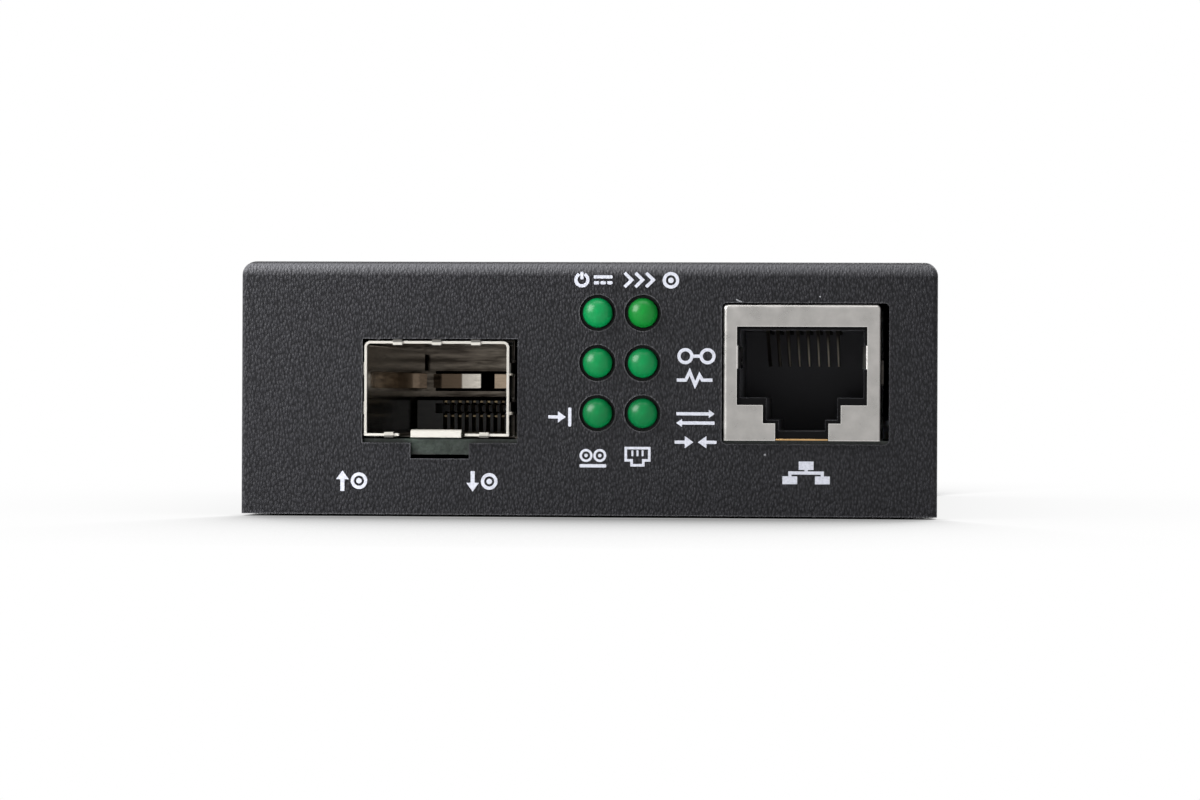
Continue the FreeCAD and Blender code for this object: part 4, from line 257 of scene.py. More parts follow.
def bright_tin():
    """Bright tin on thin springy sheet: a mirror darkened inside the cage by painted shade and painted
    reflection streaks, with a matt, pale cut rim as painted highlight.
    """
    finish = bpy.context.scene.converter_finish
    material, tree, shader, place = new_material("bright_tin", finish.tin, 0.16, Metallic=1.0)
    along = add_node(
        tree, "ShaderNodeMapping", {"Scale": (0.12, 0.04, 1.0)}, {"Vector": place}
    ).outputs["Vector"]
    lines = noise(tree, along, 0.12 * MM, 2.0)
    reflection_streaks = noise(tree, along, 0.55 * MM, 3.0, 0.6)
    front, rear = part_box("cage_body")[0].y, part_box("cage_body")[1].y
    # Painted shade and reflection: the sheet darkens towards the back of the cage, in streaks that stand for
    # reflections.
    deep = along_y(tree, place, front + 2 * MM, rear - 4 * MM)
    light = blend(tree, deep, finish.tin, linear("#716a61"))
    dark = blend(tree, deep, linear("#5d564d"), linear("#3a352f"))
    painted_streak_mask = add_node(
        tree, "ShaderNodeMapRange", {"From Min": 0.38, "From Max": 0.66}, {"Value": reflection_streaks}
    ).outputs["Result"]
    sheet = blend(tree, painted_streak_mask, dark, light)
    # The eject leaves stand in this band of height. Their tips are painted pale and their roots dark, as
    # painted light and shade, and their shading normal is turned to the front below.
    leaf_low, leaf_high, leaf_back = 13.0 * MM, 14.8 * MM, 0.45 * MM
    tip_start, right_start = -18.45 * MM, -15.4 * MM
    level = between(tree, place, "Z", leaf_low, leaf_low + 0.1 * MM)
    leaf = times(tree, level, along_y(tree, place, leaf_back, leaf_back - 0.1 * MM))
    under = between(tree, place, "Z", leaf_high, leaf_high - 0.1 * MM)
    leaf = times(tree, leaf, times(tree, deep, under))
    tip = between(tree, place, "X", tip_start, tip_start + 0.15 * MM)
    painted_leaf_tone = blend(tree, tip, linear("#66584a"), linear("#d9d3c8"))
    right = between(tree, place, "X", right_start, right_start + 0.2 * MM)
    painted_leaf_tone = blend(tree, right, painted_leaf_tone, linear("#9c8c7a"))
    sheet = blend(tree, leaf, sheet, painted_leaf_tone)
    # The cut rim and the latch lip are drawn pale and non-metallic, as painted highlight.
    far = along_y(tree, place, front + 0.2 * MM, front + 0.4 * MM)
    lip_top = 8.75 * MM
    lip = between(tree, place, "Z", lip_top, lip_top - 0.1 * MM)
    rim = blend(tree, lip, linear(RIM_HIGHLIGHT), finish.rim)
    tree.links.new(blend(tree, far, rim, sheet), shader.inputs["Base Color"])
    tree.links.new(far, shader.inputs["Metallic"])
    rolled = ramp(tree, lines, [(0.3, grey(0.1)), (0.75, grey(0.24))])
    tree.links.new(blend(tree, far, grey(0.5), rolled), shader.inputs["Roughness"])
    bump = add_node(tree, "ShaderNodeBump", {"Distance": 0.002 * MM}, {"Height": lines}).outputs["Normal"]
    square = add_node(
        tree, "ShaderNodeMix", {"data_type": "VECTOR", 5: (0.0, -1.0, 0.0)}, {0: leaf, 4: bump}
    ).outputs[1]
    tree.links.new(square, shader.inputs["Normal"])
    return material


def spring_tin():
    """Tin on hard-drawn springs: dull and dark, with painted glints on its dimples and its noses painted as
    pale as the rim, as highlight.
    """
    material, tree, shader, place = new_material("spring_tin", linear("#4c4843"), 0.35, Metallic=1.0)
    smudge = noise(tree, place, 0.6 * MM, 3.0)
    tone = ramp(tree, smudge, [(0.35, linear("#3e3b37")), (0.7, linear("#5a5650"))])
    # The dimples come in pairs, half_gap from a pair's middle. The pairs lie twice half_step apart.
    pair_height, half_gap, half_step, dimple_radius = 11.265 * MM, 0.715 * MM, 1.94 * MM, 0.17 * MM
    height = add_node(tree, "ShaderNodeSeparateXYZ", None, {"Vector": place}).outputs["Z"]
    above = add_node(tree, "ShaderNodeMath", {"operation": "SUBTRACT", 1: pair_height}, {0: height})
    from_pair = add_node(
        tree, "ShaderNodeMath", {"operation": "PINGPONG", 1: half_step}, {0: above.outputs["Value"]}
    ).outputs["Value"]
    on_dimple = add_node(
        tree, "ShaderNodeMath", {"operation": "COMPARE", 1: half_gap, 2: dimple_radius}, {0: from_pair}
    ).outputs["Value"]
    low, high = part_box("cage_body")
    side = between(tree, place, "X", high.x - 0.05 * MM, high.x)
    # The side dimples are painted bright and non-metallic, as glints.
    dimple_glint = times(tree, side, on_dimple)
    # In front of the panel the sheet is painted a dull non-metallic grey in place of its reflections.
    near = along_y(tree, place, PANEL_Y - 0.2 * MM, PANEL_Y - 0.5 * MM)
    tone = blend(tree, dimple_glint, blend(tree, near, tone, linear("#4a4844")), linear("#d8d2c6"))
    # Only what lies over the rim is painted pale, as highlight: below its top, above its foot and between its
    # corners.
    foot = 8.22 * MM
    within = times(
        tree,
        between(tree, place, "Z", high.z - 0.08 * MM, high.z - 0.14 * MM),
        between(tree, place, "Z", foot, foot + 0.08 * MM),
    )
    for corner, inwards in ((low.x, 1), (high.x, -1)):
        clear = between(tree, place, "X", corner + inwards * 0.3 * MM, corner + inwards * 0.5 * MM)
        within = times(tree, within, clear)
    nose_highlight = times(tree, near, within)
    tree.links.new(blend(tree, nose_highlight, tone, linear(RIM_HIGHLIGHT)), shader.inputs["Base Color"])
    dull = add_node(
        tree, "ShaderNodeMath", {"operation": "MAXIMUM"}, {0: near, 1: dimple_glint}
    ).outputs["Value"]
    tree.links.new(ramp(tree, dull, [(0.0, grey(1.0)), (1.0, grey(0.0))]), shader.inputs["Metallic"])
    return material


def shaded_spring():
    """The jack's ground spring: tinned bronze painted dark and brown as shade, in the shade of the panel."""
    material, tree, shader, place = new_material("shaded_spring", linear("#2c2926"), 0.45, Metallic=0.8)
    smudge = noise(tree, place, 0.6 * MM, 3.0)
    tone = ramp(tree, smudge, [(0.35, linear("#211f1d")), (0.7, linear("#393531"))])
    tree.links.new(tone, shader.inputs["Base Color"])
    return material


def matt_tin():
    """Matt tin on leads: a pale, soft grey metal."""
    material, tree, shader, place = new_material("matt_tin", linear("#c9c8c4"), 0.42, Metallic=1.0)
    grain = noise(tree, place, 0.1 * MM, 3.0)
    tree.links.new(ramp(tree, grain, [(0.3, grey(0.34)), (0.7, grey(0.5))]), shader.inputs["Roughness"])
    return material


def flash_gold():
    """A thin gold flash over nickel: a bright yellow metal, a little paler on its high spots."""
    finish = bpy.context.scene.converter_finish
    material, tree, shader, place = new_material("flash_gold", finish.gold, 0.2, Metallic=1.0)
    cloud = noise(tree, place, 0.5 * MM, 2.0)
    tone = ramp(tree, cloud, [(0.3, finish.gold), (0.8, linear("#c7a678"))])
    tree.links.new(tone, shader.inputs["Base Color"])
    return material


def shaded_gold():
    """Gold flash deep in a black connector: dull and shaded, with a weak yellow sheen."""
    material, tree, shader, place = new_material("shaded_gold", linear("#8d7f66"), 0.35, Metallic=1.0)
    cloud = noise(tree, place, 0.5 * MM, 2.0)
    tone = ramp(tree, cloud, [(0.35, linear("#6f6350")), (0.7, linear("#a39475"))])
    tree.links.new(tone, shader.inputs["Base Color"])
    return material


def wire_gold_light_and_shade():
    """Gold wires of the jack: painted dark at their roots as shade, each with a bright line painted on as
    highlight.
    """
    material, tree, shader, place = new_material("wire_gold_light_and_shade", linear("#2b2822"), 0.4, Metallic=0.7)
    low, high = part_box("jack_contact_wires")
    split = add_node(tree, "ShaderNodeSeparateXYZ", None, {"Vector": place})
    pitch = (high.x - low.x - WIRE) / (WIRES - 1)
    first = add_node(
        tree, "ShaderNodeMath", {"operation": "SUBTRACT", 1: low.x + WIRE / 2}, {0: split.outputs["X"]}
    ).outputs["Value"]
    off_line = add_node(
        tree, "ShaderNodeMath", {"operation": "PINGPONG", 1: pitch / 2}, {0: first}
    ).outputs["Value"]
    line = add_node(
        tree, "ShaderNodeMapRange", {"From Min": 0.13 * MM, "From Max": 0.03 * MM}, {"Value": off_line}
    ).outputs["Result"]
    tip = between(tree, place, "Z", 18.6 * MM, 16.3 * MM)
    right = between(tree, place, "X", low.x + 0.5 * MM, low.x + 4.5 * MM)
    painted_wire_line = times(tree, line, times(tree, tip, right))
    tree.links.new(blend(tree, painted_wire_line, linear("#2b2822"), linear("#f2ead8")), shader.inputs["Base Color"])
    return material


def bright_zinc():
    """Zinc plate, passivated clear: a cool bright metal with a faint blue and yellow bloom."""
    material, tree, shader, place = new_material("bright_zinc", linear("#c2c6cc"), 0.28, Metallic=1.0)
    bloom = noise(tree, place, 1.2 * MM, 2.0)
    tone = ramp(tree, bloom, [(0.3, linear("#bcc4d0")), (0.7, linear("#cfcabc"))])
    tree.links.new(tone, shader.inputs["Base Color"])
    return material


def black_oxide():
    """Oiled black oxide on screws: nearly black, with a low sheen."""
    material, tree, shader, place = new_material("black_oxide", linear("#222224"), 0.38, Metallic=0.6)
    wear = noise(tree, place, 0.4 * MM, 3.0)
    tree.links.new(ramp(tree, wear, [(0.3, grey(0.3)), (0.8, grey(0.5))]), shader.inputs["Roughness"])
    return material


def glass_filled_nylon():
    """Moulded black nylon with glass fibre: matt, faintly grained, painted greyer inside as light and along
    its edges as highlight.
    """
    finish = bpy.context.scene.converter_finish
    material, tree, shader, place = new_material(
        "glass_filled_nylon", finish.nylon, 0.5, Specular_IOR_Level=0.05
    )
    grain = noise(tree, place, 0.15 * MM, 2.0)
    tree.links.new(ramp(tree, grain, [(0.3, grey(0.42)), (0.8, grey(0.6))]), shader.inputs["Roughness"])
    # Painted light inside the jack and painted highlight along the edges.
    deep = along_y(tree, place, PANEL_Y - 0.2 * MM, PANEL_Y + 1 * MM)
    tone = blend(tree, deep, finish.nylon, linear("#4b4b4e"))
    tree.links.new(blend(tree, edges(tree, 0.09 * MM), tone, linear("#47474a")), shader.inputs["Base Color"])
    add_bump(tree, shader, grain, 0.006 * MM)
    return material


def liquid_crystal_polymer():
    """Moulded liquid-crystal polymer: a brown-black, slightly glossy, with faint flow lines across."""
    material, tree, shader, place = new_material("liquid_crystal_polymer", linear("#201e1c"), 0.34)
    across = add_node(
        tree, "ShaderNodeMapping", {"Scale": (0.2, 1.0, 1.0)}, {"Vector": place}
    ).outputs["Vector"]
    flow = noise(tree, across, 0.3 * MM, 2.0)
    tone = ramp(tree, flow, [(0.35, linear("#181716")), (0.7, linear("#2a2825"))])
    tree.links.new(tone, shader.inputs["Base Color"])
    return material


def green_epoxy(name, centre, tint):
    """Tinted epoxy with diffuser: a deep green, painted brighter away from the light, with painted shade in
    its hole.
    """
    material, tree, shader, place = new_material(name, tuple(tint) + (1.0,), 0.3, Specular_IOR_Level=0.22)
    local = add_node(
        tree, "ShaderNodeMapping", {"Location": tuple(-c for c in centre)}, {"Vector": place}
    ).outputs["Vector"]
    away = add_node(
        tree, "ShaderNodeVectorMath", {"operation": "DOT_PRODUCT", 1: (0.9, 0.0, -0.45)}, {0: local}
    ).outputs["Value"]
    painted_glow = add_node(
        tree,
        "ShaderNodeMapRange",
        {"From Min": -1.5 * MM, "From Max": 1.6 * MM, "interpolation_type": "SMOOTHSTEP"},
        {"Value": away},
    ).outputs["Result"]
    levels = ((0.0, 0.55), (0.5, 1.0), (1.0, 1.25))
    tone = ramp(tree, painted_glow, [(at, tuple(c * level for c in tint) + (1.0,)) for at, level in levels])
    painted_hole_shade = along_y(tree, place, PANEL_Y - 0.15 * MM, PANEL_Y + 0.25 * MM)
    tree.links.new(blend(tree, painted_hole_shade, tone, linear("#03140a")), shader.inputs["Base Color"])
    return material


def solder_mask():
    """Dark green mask over raised copper tracks. The board's cut edge is dusty grey-green glass."""
    finish = bpy.context.scene.converter_finish
    material, tree, shader, place = new_material("solder_mask", finish.mask, 0.28)
    tracks = add_node(
        tree,
        "ShaderNodeTexVoronoi",
        {"feature": "F1", "distance": "CHEBYCHEV", "Scale": 1 / (2.4 * MM), "Randomness": 0.8},
        {"Vector": place},
    ).outputs["Distance"]
    edge = ramp(tree, tracks, [(0.42, grey(0.0)), (0.46, grey(1.0))])
    tone = add_node(
        tree, "ShaderNodeMix", {"data_type": "RGBA", 6: finish.mask, 7: linear("#17562f")}, {0: edge}
    ).outputs[2]
    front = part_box("circuit_board")[0].y
    cut = along_y(tree, place, front + 0.4 * MM, front + 0.05 * MM)
    dust = noise(tree, place, 0.5 * MM, 4.0, 0.7)
    glass = ramp(tree, dust, [(0.35, linear("#1d2c22")), (0.7, linear("#47514a"))])
    tree.links.new(blend(tree, cut, tone, glass), shader.inputs["Base Color"])
    add_bump(tree, shader, edge, 0.02 * MM, 0.5)
    return material


def moulded_epoxy():
    """Transfer-moulded epoxy: a matt charcoal black with the fine grain of an eroded tool."""
    material, tree, shader, place = new_material("moulded_epoxy", linear("#242426"), 0.62)
    grain = noise(tree, place, 0.1 * MM, 2.0)
    add_bump(tree, shader, grain, 0.01 * MM)
    tone = ramp(tree, grain, [(0.3, linear("#1f1f21")), (0.7, linear("#2b2b2e"))])
    tree.links.new(tone, shader.inputs["Base Color"])
    return material


def shrink_sleeve(name, top):
    """Dark blue shrink sleeve on an aluminium can, whose bare end shows above it, at the height top."""
    material, tree, shader, place = new_material(name, linear("#1a2440"), 0.3)
    height = add_node(tree, "ShaderNodeSeparateXYZ", None, {"Vector": place}).outputs["Z"]
    bare = add_node(
        tree, "ShaderNodeMath", {"operation": "GREATER_THAN", 1: top - 0.25 * MM}, {0: height}
    ).outputs["Value"]
    tone = ramp(tree, bare, [(0.0, linear("#1a2440")), (1.0, linear("#c4c6c8"))])
    tree.links.new(tone, shader.inputs["Base Color"])
    tree.links.new(bare, shader.inputs["Metallic"])
    return material


def sintered_ferrite():
    """Sintered ferrite: a dull grey-black ceramic, speckled like fine slate."""
    material, tree, shader, place = new_material("sintered_ferrite", linear("#37373a"), 0.7)
    grain = noise(tree, place, 0.2 * MM, 4.0, 0.7)
    tone = ramp(tree, grain, [(0.3, linear("#2c2c2f")), (0.7, linear("#46464a"))])
    tree.links.new(tone, shader.inputs["Base Color"])
    add_bump(tree, shader, grain, 0.01 * MM)
    return material


def fired_ceramic():
    """Fired capacitor ceramic between tinned ends: a warm brown body with a dull glaze."""
    material, tree, shader, place = new_material("fired_ceramic", linear("#8a6c4d"), 0.45)
    grain = noise(tree, place, 0.15 * MM, 2.0)
    tone = ramp(tree, grain, [(0.3, linear("#7c5f42")), (0.7, linear("#987a58"))])
    tree.links.new(tone, shader.inputs["Base Color"])
    return material


def bare_steel():
    """Where the coat is chipped: the steel's dull grey, ragged with what is left of the primer."""
    material, tree, shader, place = new_material("bare_steel", linear("#84858a"), 0.5, Metallic=0.5)
    rag = noise(tree, place, 0.1 * MM, 2.0)
    tone = ramp(tree, rag, [(0.35, linear("#66676b")), (0.65, linear("#9fa0a4"))])
    tree.links.new(tone, shader.inputs["Base Color"])
    return material


def screen_ink():
    """Screen-printed epoxy ink: a cool white, dull film that follows the coat's wrinkles."""
    finish, sizes = bpy.context.scene.converter_finish, bpy.context.scene.converter_sizes
    material, tree, shader, place = new_material("screen_ink", finish.ink, 0.55)
    wrinkle = noise(tree, place, sizes.grain, 3.0, 0.55, 0.6)
    tone = ramp(tree, wrinkle, [(0.3, linear("#a8aab4")), (0.6, finish.ink)])
    tree.links.new(tone, shader.inputs["Base Color"])
    add_bump(tree, shader, wrinkle, 0.03 * MM, 0.5)
    return material


# Modelling helpers


def dress(names, material):
    """Gives CAD nodes a material through their object's own slots."""
    for name in names:
        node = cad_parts[name]
        if not node.material_slots:
            node.data.materials.append(material)
        for slot in node.material_slots:
            slot.link = "OBJECT"
            slot.material = material


def begin_piece(name):
    """An empty mesh at the origin, open for modelling."""
    if bpy.context.object and bpy.context.object.mode != "OBJECT":
        bpy.ops.object.mode_set(mode="OBJECT")
    bpy.ops.object.select_all(action="DESELECT")
    bpy.ops.mesh.primitive_plane_add(size=MM, location=(0, 0, 0))
    piece = bpy.context.object
    piece.name = name
    piece.data.name = name
    bpy.ops.object.mode_set(mode="EDIT")
    bpy.ops.mesh.select_mode(type="VERT")
    bpy.ops.mesh.select_all(action="SELECT")
    bpy.ops.mesh.delete(type="VERT")
    return piece


def end_piece(piece, material, smooth_angle=math.radians(40)):
    """Shows all that was modelled, gives it its material, and hangs the piece on the body."""
    bpy.ops.mesh.reveal(select=True)
    bpy.ops.object.mode_set(mode="OBJECT")
    piece.data.materials.append(material)
    bpy.ops.object.shade_smooth_by_angle(angle=smooth_angle)
    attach(piece, "root")
    return piece


def build_up(depth):
    """Thickens the flat shape in hand by depth along Y, closes it and sets it aside."""
    bpy.ops.mesh.select_all(action="SELECT")
    bpy.ops.mesh.extrude_region_move(TRANSFORM_OT_translate={"value": (0, depth, 0)})
    set_aside()


def set_aside():
    """Turns the faces of the closed shape in hand outwards and hides it."""
    bpy.ops.mesh.select_all(action="SELECT")
    bpy.ops.mesh.normals_make_consistent(inside=False)
    bpy.ops.mesh.hide(unselected=False)


def face_turn(depth):
    """The turn that lays a primitive flat against a panel, facing the way that depth points."""
    return math.pi / 2 if depth < 0 else -math.pi / 2


def ink_outline(points, y, depth):
    """A flat shape through points of X and Z, still to be built up."""
    bpy.ops.mesh.primitive_circle_add(
        vertices=len(points),
        radius=MM,
        fill_type="NGON",
        location=(0, y, 0),
        rotation=(face_turn(depth), 0, 0),
    )
    mesh = bmesh.from_edit_mesh(bpy.context.object.data)
    shown = [vertex for vertex in mesh.verts if not vertex.hide]
    shown.sort(key=lambda vertex: math.atan2(vertex.co.z, vertex.co.x))
    around = [vertex.index for vertex in shown]
    for index, (x, z) in zip(around, points):
        bpy.ops.mesh.select_all(action="DESELECT")
        mesh = bmesh.from_edit_mesh(bpy.context.object.data)
        mesh.verts.ensure_lookup_table()
        mesh.verts[index].select = True
        mesh.select_flush_mode()
        start = mesh.verts[index].co.copy()
        bmesh.update_edit_mesh(bpy.context.object.data)
        bpy.ops.transform.translate(value=Vector((x, y, z)) - start)
    bpy.ops.mesh.select_all(action="SELECT")


def ink_shape(points, y, depth, rounding=0.0):
    """A filled shape through points of X and Z, with its corners rounded."""
    ink_outline(points, y, depth)
    if rounding:
        bpy.ops.mesh.bevel(offset=rounding, segments=2, affect="VERTICES", clamp_overlap=True)
    build_up(depth)


def ink_frame(points, y, width, depth):
    """The border of a shape, width broad inside its outline."""
    ink_outline(points, y, depth)
    ink_hollow(width, depth)


def ink_hollow(width, depth):
    """Leaves only a border of the flat face in hand, and builds it up."""
    bpy.ops.mesh.select_mode(type="FACE")
    bpy.ops.mesh.select_all(action="SELECT")
    bpy.ops.mesh.inset(thickness=width)
    bpy.ops.mesh.delete(type="FACE")
    bpy.ops.mesh.select_mode(type="VERT")
    build_up(depth)


def ink_line(points, y, width, depth, rounding=0.3):
    """A stroke of even width through points of X and Z, mitred where it bends."""
    points = [Vector(point) for point in points]
    steps = [(after - here).normalized() for here, after in zip(points, points[1:])]
    points[0] -= steps[0] * width / 2
    points[-1] += steps[-1] * width / 2
    left, right = [], []
    for here, before, after in zip(points, [steps[0]] + steps, steps + [steps[-1]]):
        middle = (before + after).normalized()
        across = Vector((-middle.y, middle.x)) * width / 2 / max(middle.dot(before), 0.4)
        left.append(tuple(here + across))
        right.append(tuple(here - across))
    ink_shape(left + right[::-1], y, depth, rounding * width)


def ink_disc(x, y, z, radius, depth):
    """A filled disc."""
    bpy.ops.mesh.primitive_circle_add(
        vertices=24, radius=radius, fill_type="NGON", location=(x, y, z), rotation=(face_turn(depth), 0, 0)
    )
    build_up(depth)


def ink_ring(x, y, z, radius, width, depth):
    """A ring, width broad inside its radius."""
    bpy.ops.mesh.primitive_circle_add(
        vertices=32, radius=radius, fill_type="NGON", location=(x, y, z), rotation=(face_turn(depth), 0, 0)
    )
    ink_hollow(width, depth)


def in_mm(points):
    """Points of X and Z that are given in millimetres, in metres."""
    return [(x * MM, z * MM) for x, z in points]


def arc_points(x, z, radius, start, sweep, steps=12):
    """Points of X and Z along an arc, its angles measured from the right."""
    return [
        (x + radius * math.cos(start + sweep * i / steps), z + radius * math.sin(start + sweep * i / steps))
        for i in range(steps + 1)
    ]


def ink_arrow(x, z, y, reach, stem, head, slope, depth):
    """An arrow round X and Z, reach long, its head as broad as head."""
    ahead = Vector((math.cos(slope), math.sin(slope)))
    across = Vector((-ahead.y, ahead.x))
    tail = Vector((x, z)) - ahead * reach / 2
    tip = tail + ahead * reach
    neck = tip - ahead * head * 0.7
    half = across * stem / 2
    barb = across * head / 2
    corners = (tail + half, neck + half, neck + barb, tip, neck - barb, neck - half, tail - half)
    ink_shape([tuple(corner) for corner in corners], y, depth, 0.05 * MM)


def block(low, high):
    """A box between two corners, left in hand."""
    low, high = Vector(low), Vector(high)
    bpy.ops.mesh.primitive_cube_add(size=MM, location=(low + high) / 2)
    bpy.ops.transform.resize(value=(high - low) / MM)


# Pieces


class CONVERTER_OT_case(bpy.types.Operator):
    """Coats the cover and the tray, and blackens the screws that join them"""

    bl_idname = "converter.case"
    bl_label = "Case finish"

    def execute(self, context):
        dress(("cover_shell", "base_tray"), textured_powder_coat())
        dress(("cover_screws",), black_oxide())
        dress(("board_screws",), bright_zinc())
        return {"FINISHED"}


class CONVERTER_OT_ports(bpy.types.Operator):
    """Finishes the transceiver cage, the network jack and the power inlet"""

    bl_idname = "converter.ports"
    bl_label = "Port finish"

    def execute(self, context):
        dress(("cage_body", "cage_floor"), bright_tin())
        dress(("cage_spring_fingers",), spring_tin())
        dress(("jack_shield", "board_standoffs", "power_inlet_pin", "crystal_can"), satin_nickel())
        dress(("host_connector_contacts",), shaded_gold())
        dress(("jack_contact_wires",), wire_gold_light_and_shade())
        dress(("host_connector_housing",), liquid_crystal_polymer())
        dress(("jack_insert", "power_inlet_body", "lamp_holder"), glass_filled_nylon())
        return {"FINISHED"}


class CONVERTER_OT_lamps(bpy.types.Operator):
    """Tints the six lamps, each about its own middle"""

    bl_idname = "converter.lamps"
    bl_label = "Lamp lenses"

    def execute(self, context):
        finish = context.scene.converter_finish
        for name in sorted(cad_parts):
            if name.startswith("lamp_") and name not in ("lamp_leads", "lamp_holder"):
                low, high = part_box(name)
                tint = finish.lens_speed if name == "lamp_speed" else finish.lens
                # The lower a lamp stands, the less it is lit, so the deeper its green.
                strength = 0.68 - 0.0186 * (TOP_Z - high.z) / MM
                tint = [part * strength for part in tint[:3]]
                dress((name,), green_epoxy("green_epoxy_" + name, (low + high) / 2, tint))
        return {"FINISHED"}


class CONVERTER_OT_board(bpy.types.Operator):
    """Finishes the circuit board and what is soldered to it"""

    bl_idname = "converter.board"
    bl_label = "Board finish"

    def execute(self, context):
        dress(("circuit_board",), solder_mask())
        chips = ("converter_chip", "line_transformer", "memory_chip", "voltage_regulator")
        dress(chips + ("chip_resistors",), moulded_epoxy())
        leads = tuple(chip + "_leads" for chip in chips)
        dress(leads + ("lamp_leads", "power_inlet_contacts"), matt_tin())
        for name in ("capacitor_large", "capacitor_small"):
            dress((name,), shrink_sleeve("shrink_sleeve_" + name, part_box(name)[1].z))
        dress(("power_inductor",), sintered_ferrite())
        dress(("chip_capacitors",), fired_ceramic())
        return {"FINISHED"}


class CONVERTER_OT_front_symbols(bpy.types.Operator):
    """Prints plain symbols beside the lamps and under the ports, and wears three small chips in the coat"""

    bl_idname = "converter.front_symbols"
    bl_label = "Front symbols"

    def execute(self, context):
        sizes = context.scene.converter_sizes
        ink, wide = screen_ink(), sizes.stroke
        y, depth = PANEL_Y + 0.005 * MM, -sizes.ink_build - 0.005 * MM

        piece = begin_piece("symbol_power")
        x, z = -0.62 * MM, 24.15 * MM
        ink_line(arc_points(x, z, 0.62 * MM, math.radians(130), math.radians(280)), y, wide, depth, 0.0)
        ink_line([(x, z + 0.2 * MM), (x, z + 0.65 * MM)], y, wide, depth)
        ink_line(in_mm([(0.75, 24.45), (2.35, 24.45)]), y, wide, depth)
        for i in (-1, 0, 1):
            start = 1.44 + 0.68 * i
            ink_line(in_mm([(start, 23.85), (start + 0.22, 23.85)]), y, wide, depth)
        end_piece(piece, ink)

        piece = begin_piece("symbol_speed")
        for i in range(3):
            x = (3.85 + 1.1 * i) * MM
            ink_line([(x, 23.55 * MM), (x + 0.62 * MM, 24.15 * MM), (x, 24.75 * MM)], y, wide, depth, 0.2)
        ink_ring(8.45 * MM, y, 24.12 * MM, 0.85 * MM, wide, depth)
        ink_disc(8.45 * MM, y, 24.12 * MM, 0.28 * MM, depth)
        end_piece(piece, ink)

        piece = begin_piece("symbol_link")
        ink_ring(9.95 * MM, y, 16.43 * MM, 0.82 * MM, wide, depth)
        ink_ring(12.2 * MM, y, 16.43 * MM, 0.82 * MM, wide, depth)
        ink_line(in_mm([(10.93, 16.43), (11.22, 16.43)]), y, wide, depth, 0.0)
        end_piece(piece, ink)

        piece = begin_piece("symbol_pulse")
        points = [(9.25, 14.0), (10.0, 14.0), (10.4, 14.85), (10.95, 13.5), (11.4, 14.5)]
        points += [(11.7, 14.0), (12.55, 14.0)]
        ink_line(in_mm(points), y, wide, depth, 0.0)
        end_piece(piece, ink)

        piece = begin_piece("symbol_duplex")
        ink_arrow(11.0 * MM, 10.58 * MM, y, 3.9 * MM, wide, 0.85 * MM, 0.0, depth)
        ink_arrow(11.0 * MM, 9.65 * MM, y, 3.9 * MM, wide, 0.85 * MM, math.pi, depth)
        end_piece(piece, ink)

        piece = begin_piece("symbol_collision")
        ink_arrow(9.85 * MM, 7.7 * MM, y, 1.9 * MM, wide, 1.25 * MM, 0.0, depth)
        ink_arrow(12.2 * MM, 7.7 * MM, y, 1.9 * MM, wide, 1.25 * MM, math.pi, depth)
        end_piece(piece, ink)

        piece = begin_piece("symbol_signal")
        ink_arrow(-3.1 * MM, 10.2 * MM, y, 1.8 * MM, wide, 1.15 * MM, 0.0, depth)
        ink_line(in_mm([(-1.8, 9.4), (-1.8, 11.0)]), y, wide, depth)
        end_piece(piece, ink)

        piece = begin_piece("symbol_fibre")
        for x in (-0.12, 1.28):
            ink_ring(x * MM, y, 6.3 * MM, 0.66 * MM, 0.24 * MM, depth)
            ink_disc(x * MM, y, 6.3 * MM, 0.18 * MM, depth)
        ink_line(in_mm([(-0.62, 5.25), (1.78, 5.25)]), y, wide, depth)
        end_piece(piece, ink)

        piece = begin_piece("symbol_copper")
        points = [(3.8, 5.7), (3.8, 7.2), (6.45, 7.2), (6.45, 5.7)]
        points += [(5.85, 5.7), (5.85, 5.2), (4.4, 5.2), (4.4, 5.7)]
        ink_frame(in_mm(points), y, 0.26 * MM, depth)
        for i in (-1, 0, 1):
            x = 5.12 + 0.52 * i
            ink_line(in_mm([(x, 6.35), (x, 6.75)]), y, 0.2 * MM, depth)
        end_piece(piece, ink)

        piece = begin_piece("symbol_network")
        half = [(0.75, 5.8), (0.75, 4.95), (0.16, 4.95), (0.16, 4.8), (1.8, 4.8), (1.8, 4.3)]
        half += [(2.4, 4.3), (2.4, 3.5), (0.9, 3.5), (0.9, 4.3), (1.48, 4.3), (1.48, 4.48)]
        points = half + [(-a, b) for a, b in half[::-1]]
        ink_shape(in_mm([(22.25 + a, b) for a, b in points]), y, depth)
        end_piece(piece, ink)

        piece = begin_piece("coat_chips")
        points = [(15.02, 22.2), (15.2, 22.22), (15.45, 22.08), (15.72, 22.0)]
        points += [(15.66, 21.9), (15.4, 21.96), (15.12, 22.1)]
        ink_shape(in_mm(points), y, 0.8 * depth)
        for x, z, radius in ((23.6, 22.5, 0.09), (18.07, 6.46, 0.11)):
            ink_disc(x * MM, y, z * MM, radius * MM, 0.8 * depth)
        end_piece(piece, bare_steel())

        for name, arrow_x, ring_x, slope in (
            ("symbol_send", -25.05 * MM, -23.35 * MM, math.pi / 2),
            ("symbol_receive", -11.7 * MM, -10.0 * MM, -math.pi / 2),
        ):
            piece = begin_piece(name)
            ink_arrow(arrow_x, 3.6 * MM, y, 2.1 * MM, 0.42 * MM, 1.3 * MM, slope, depth)
            ink_ring(ring_x, y, 3.6 * MM, 0.85 * MM, wide, depth)
            ink_disc(ring_x, y, 3.6 * MM, 0.28 * MM, depth)
            end_piece(piece, ink)
        return {"FINISHED"}


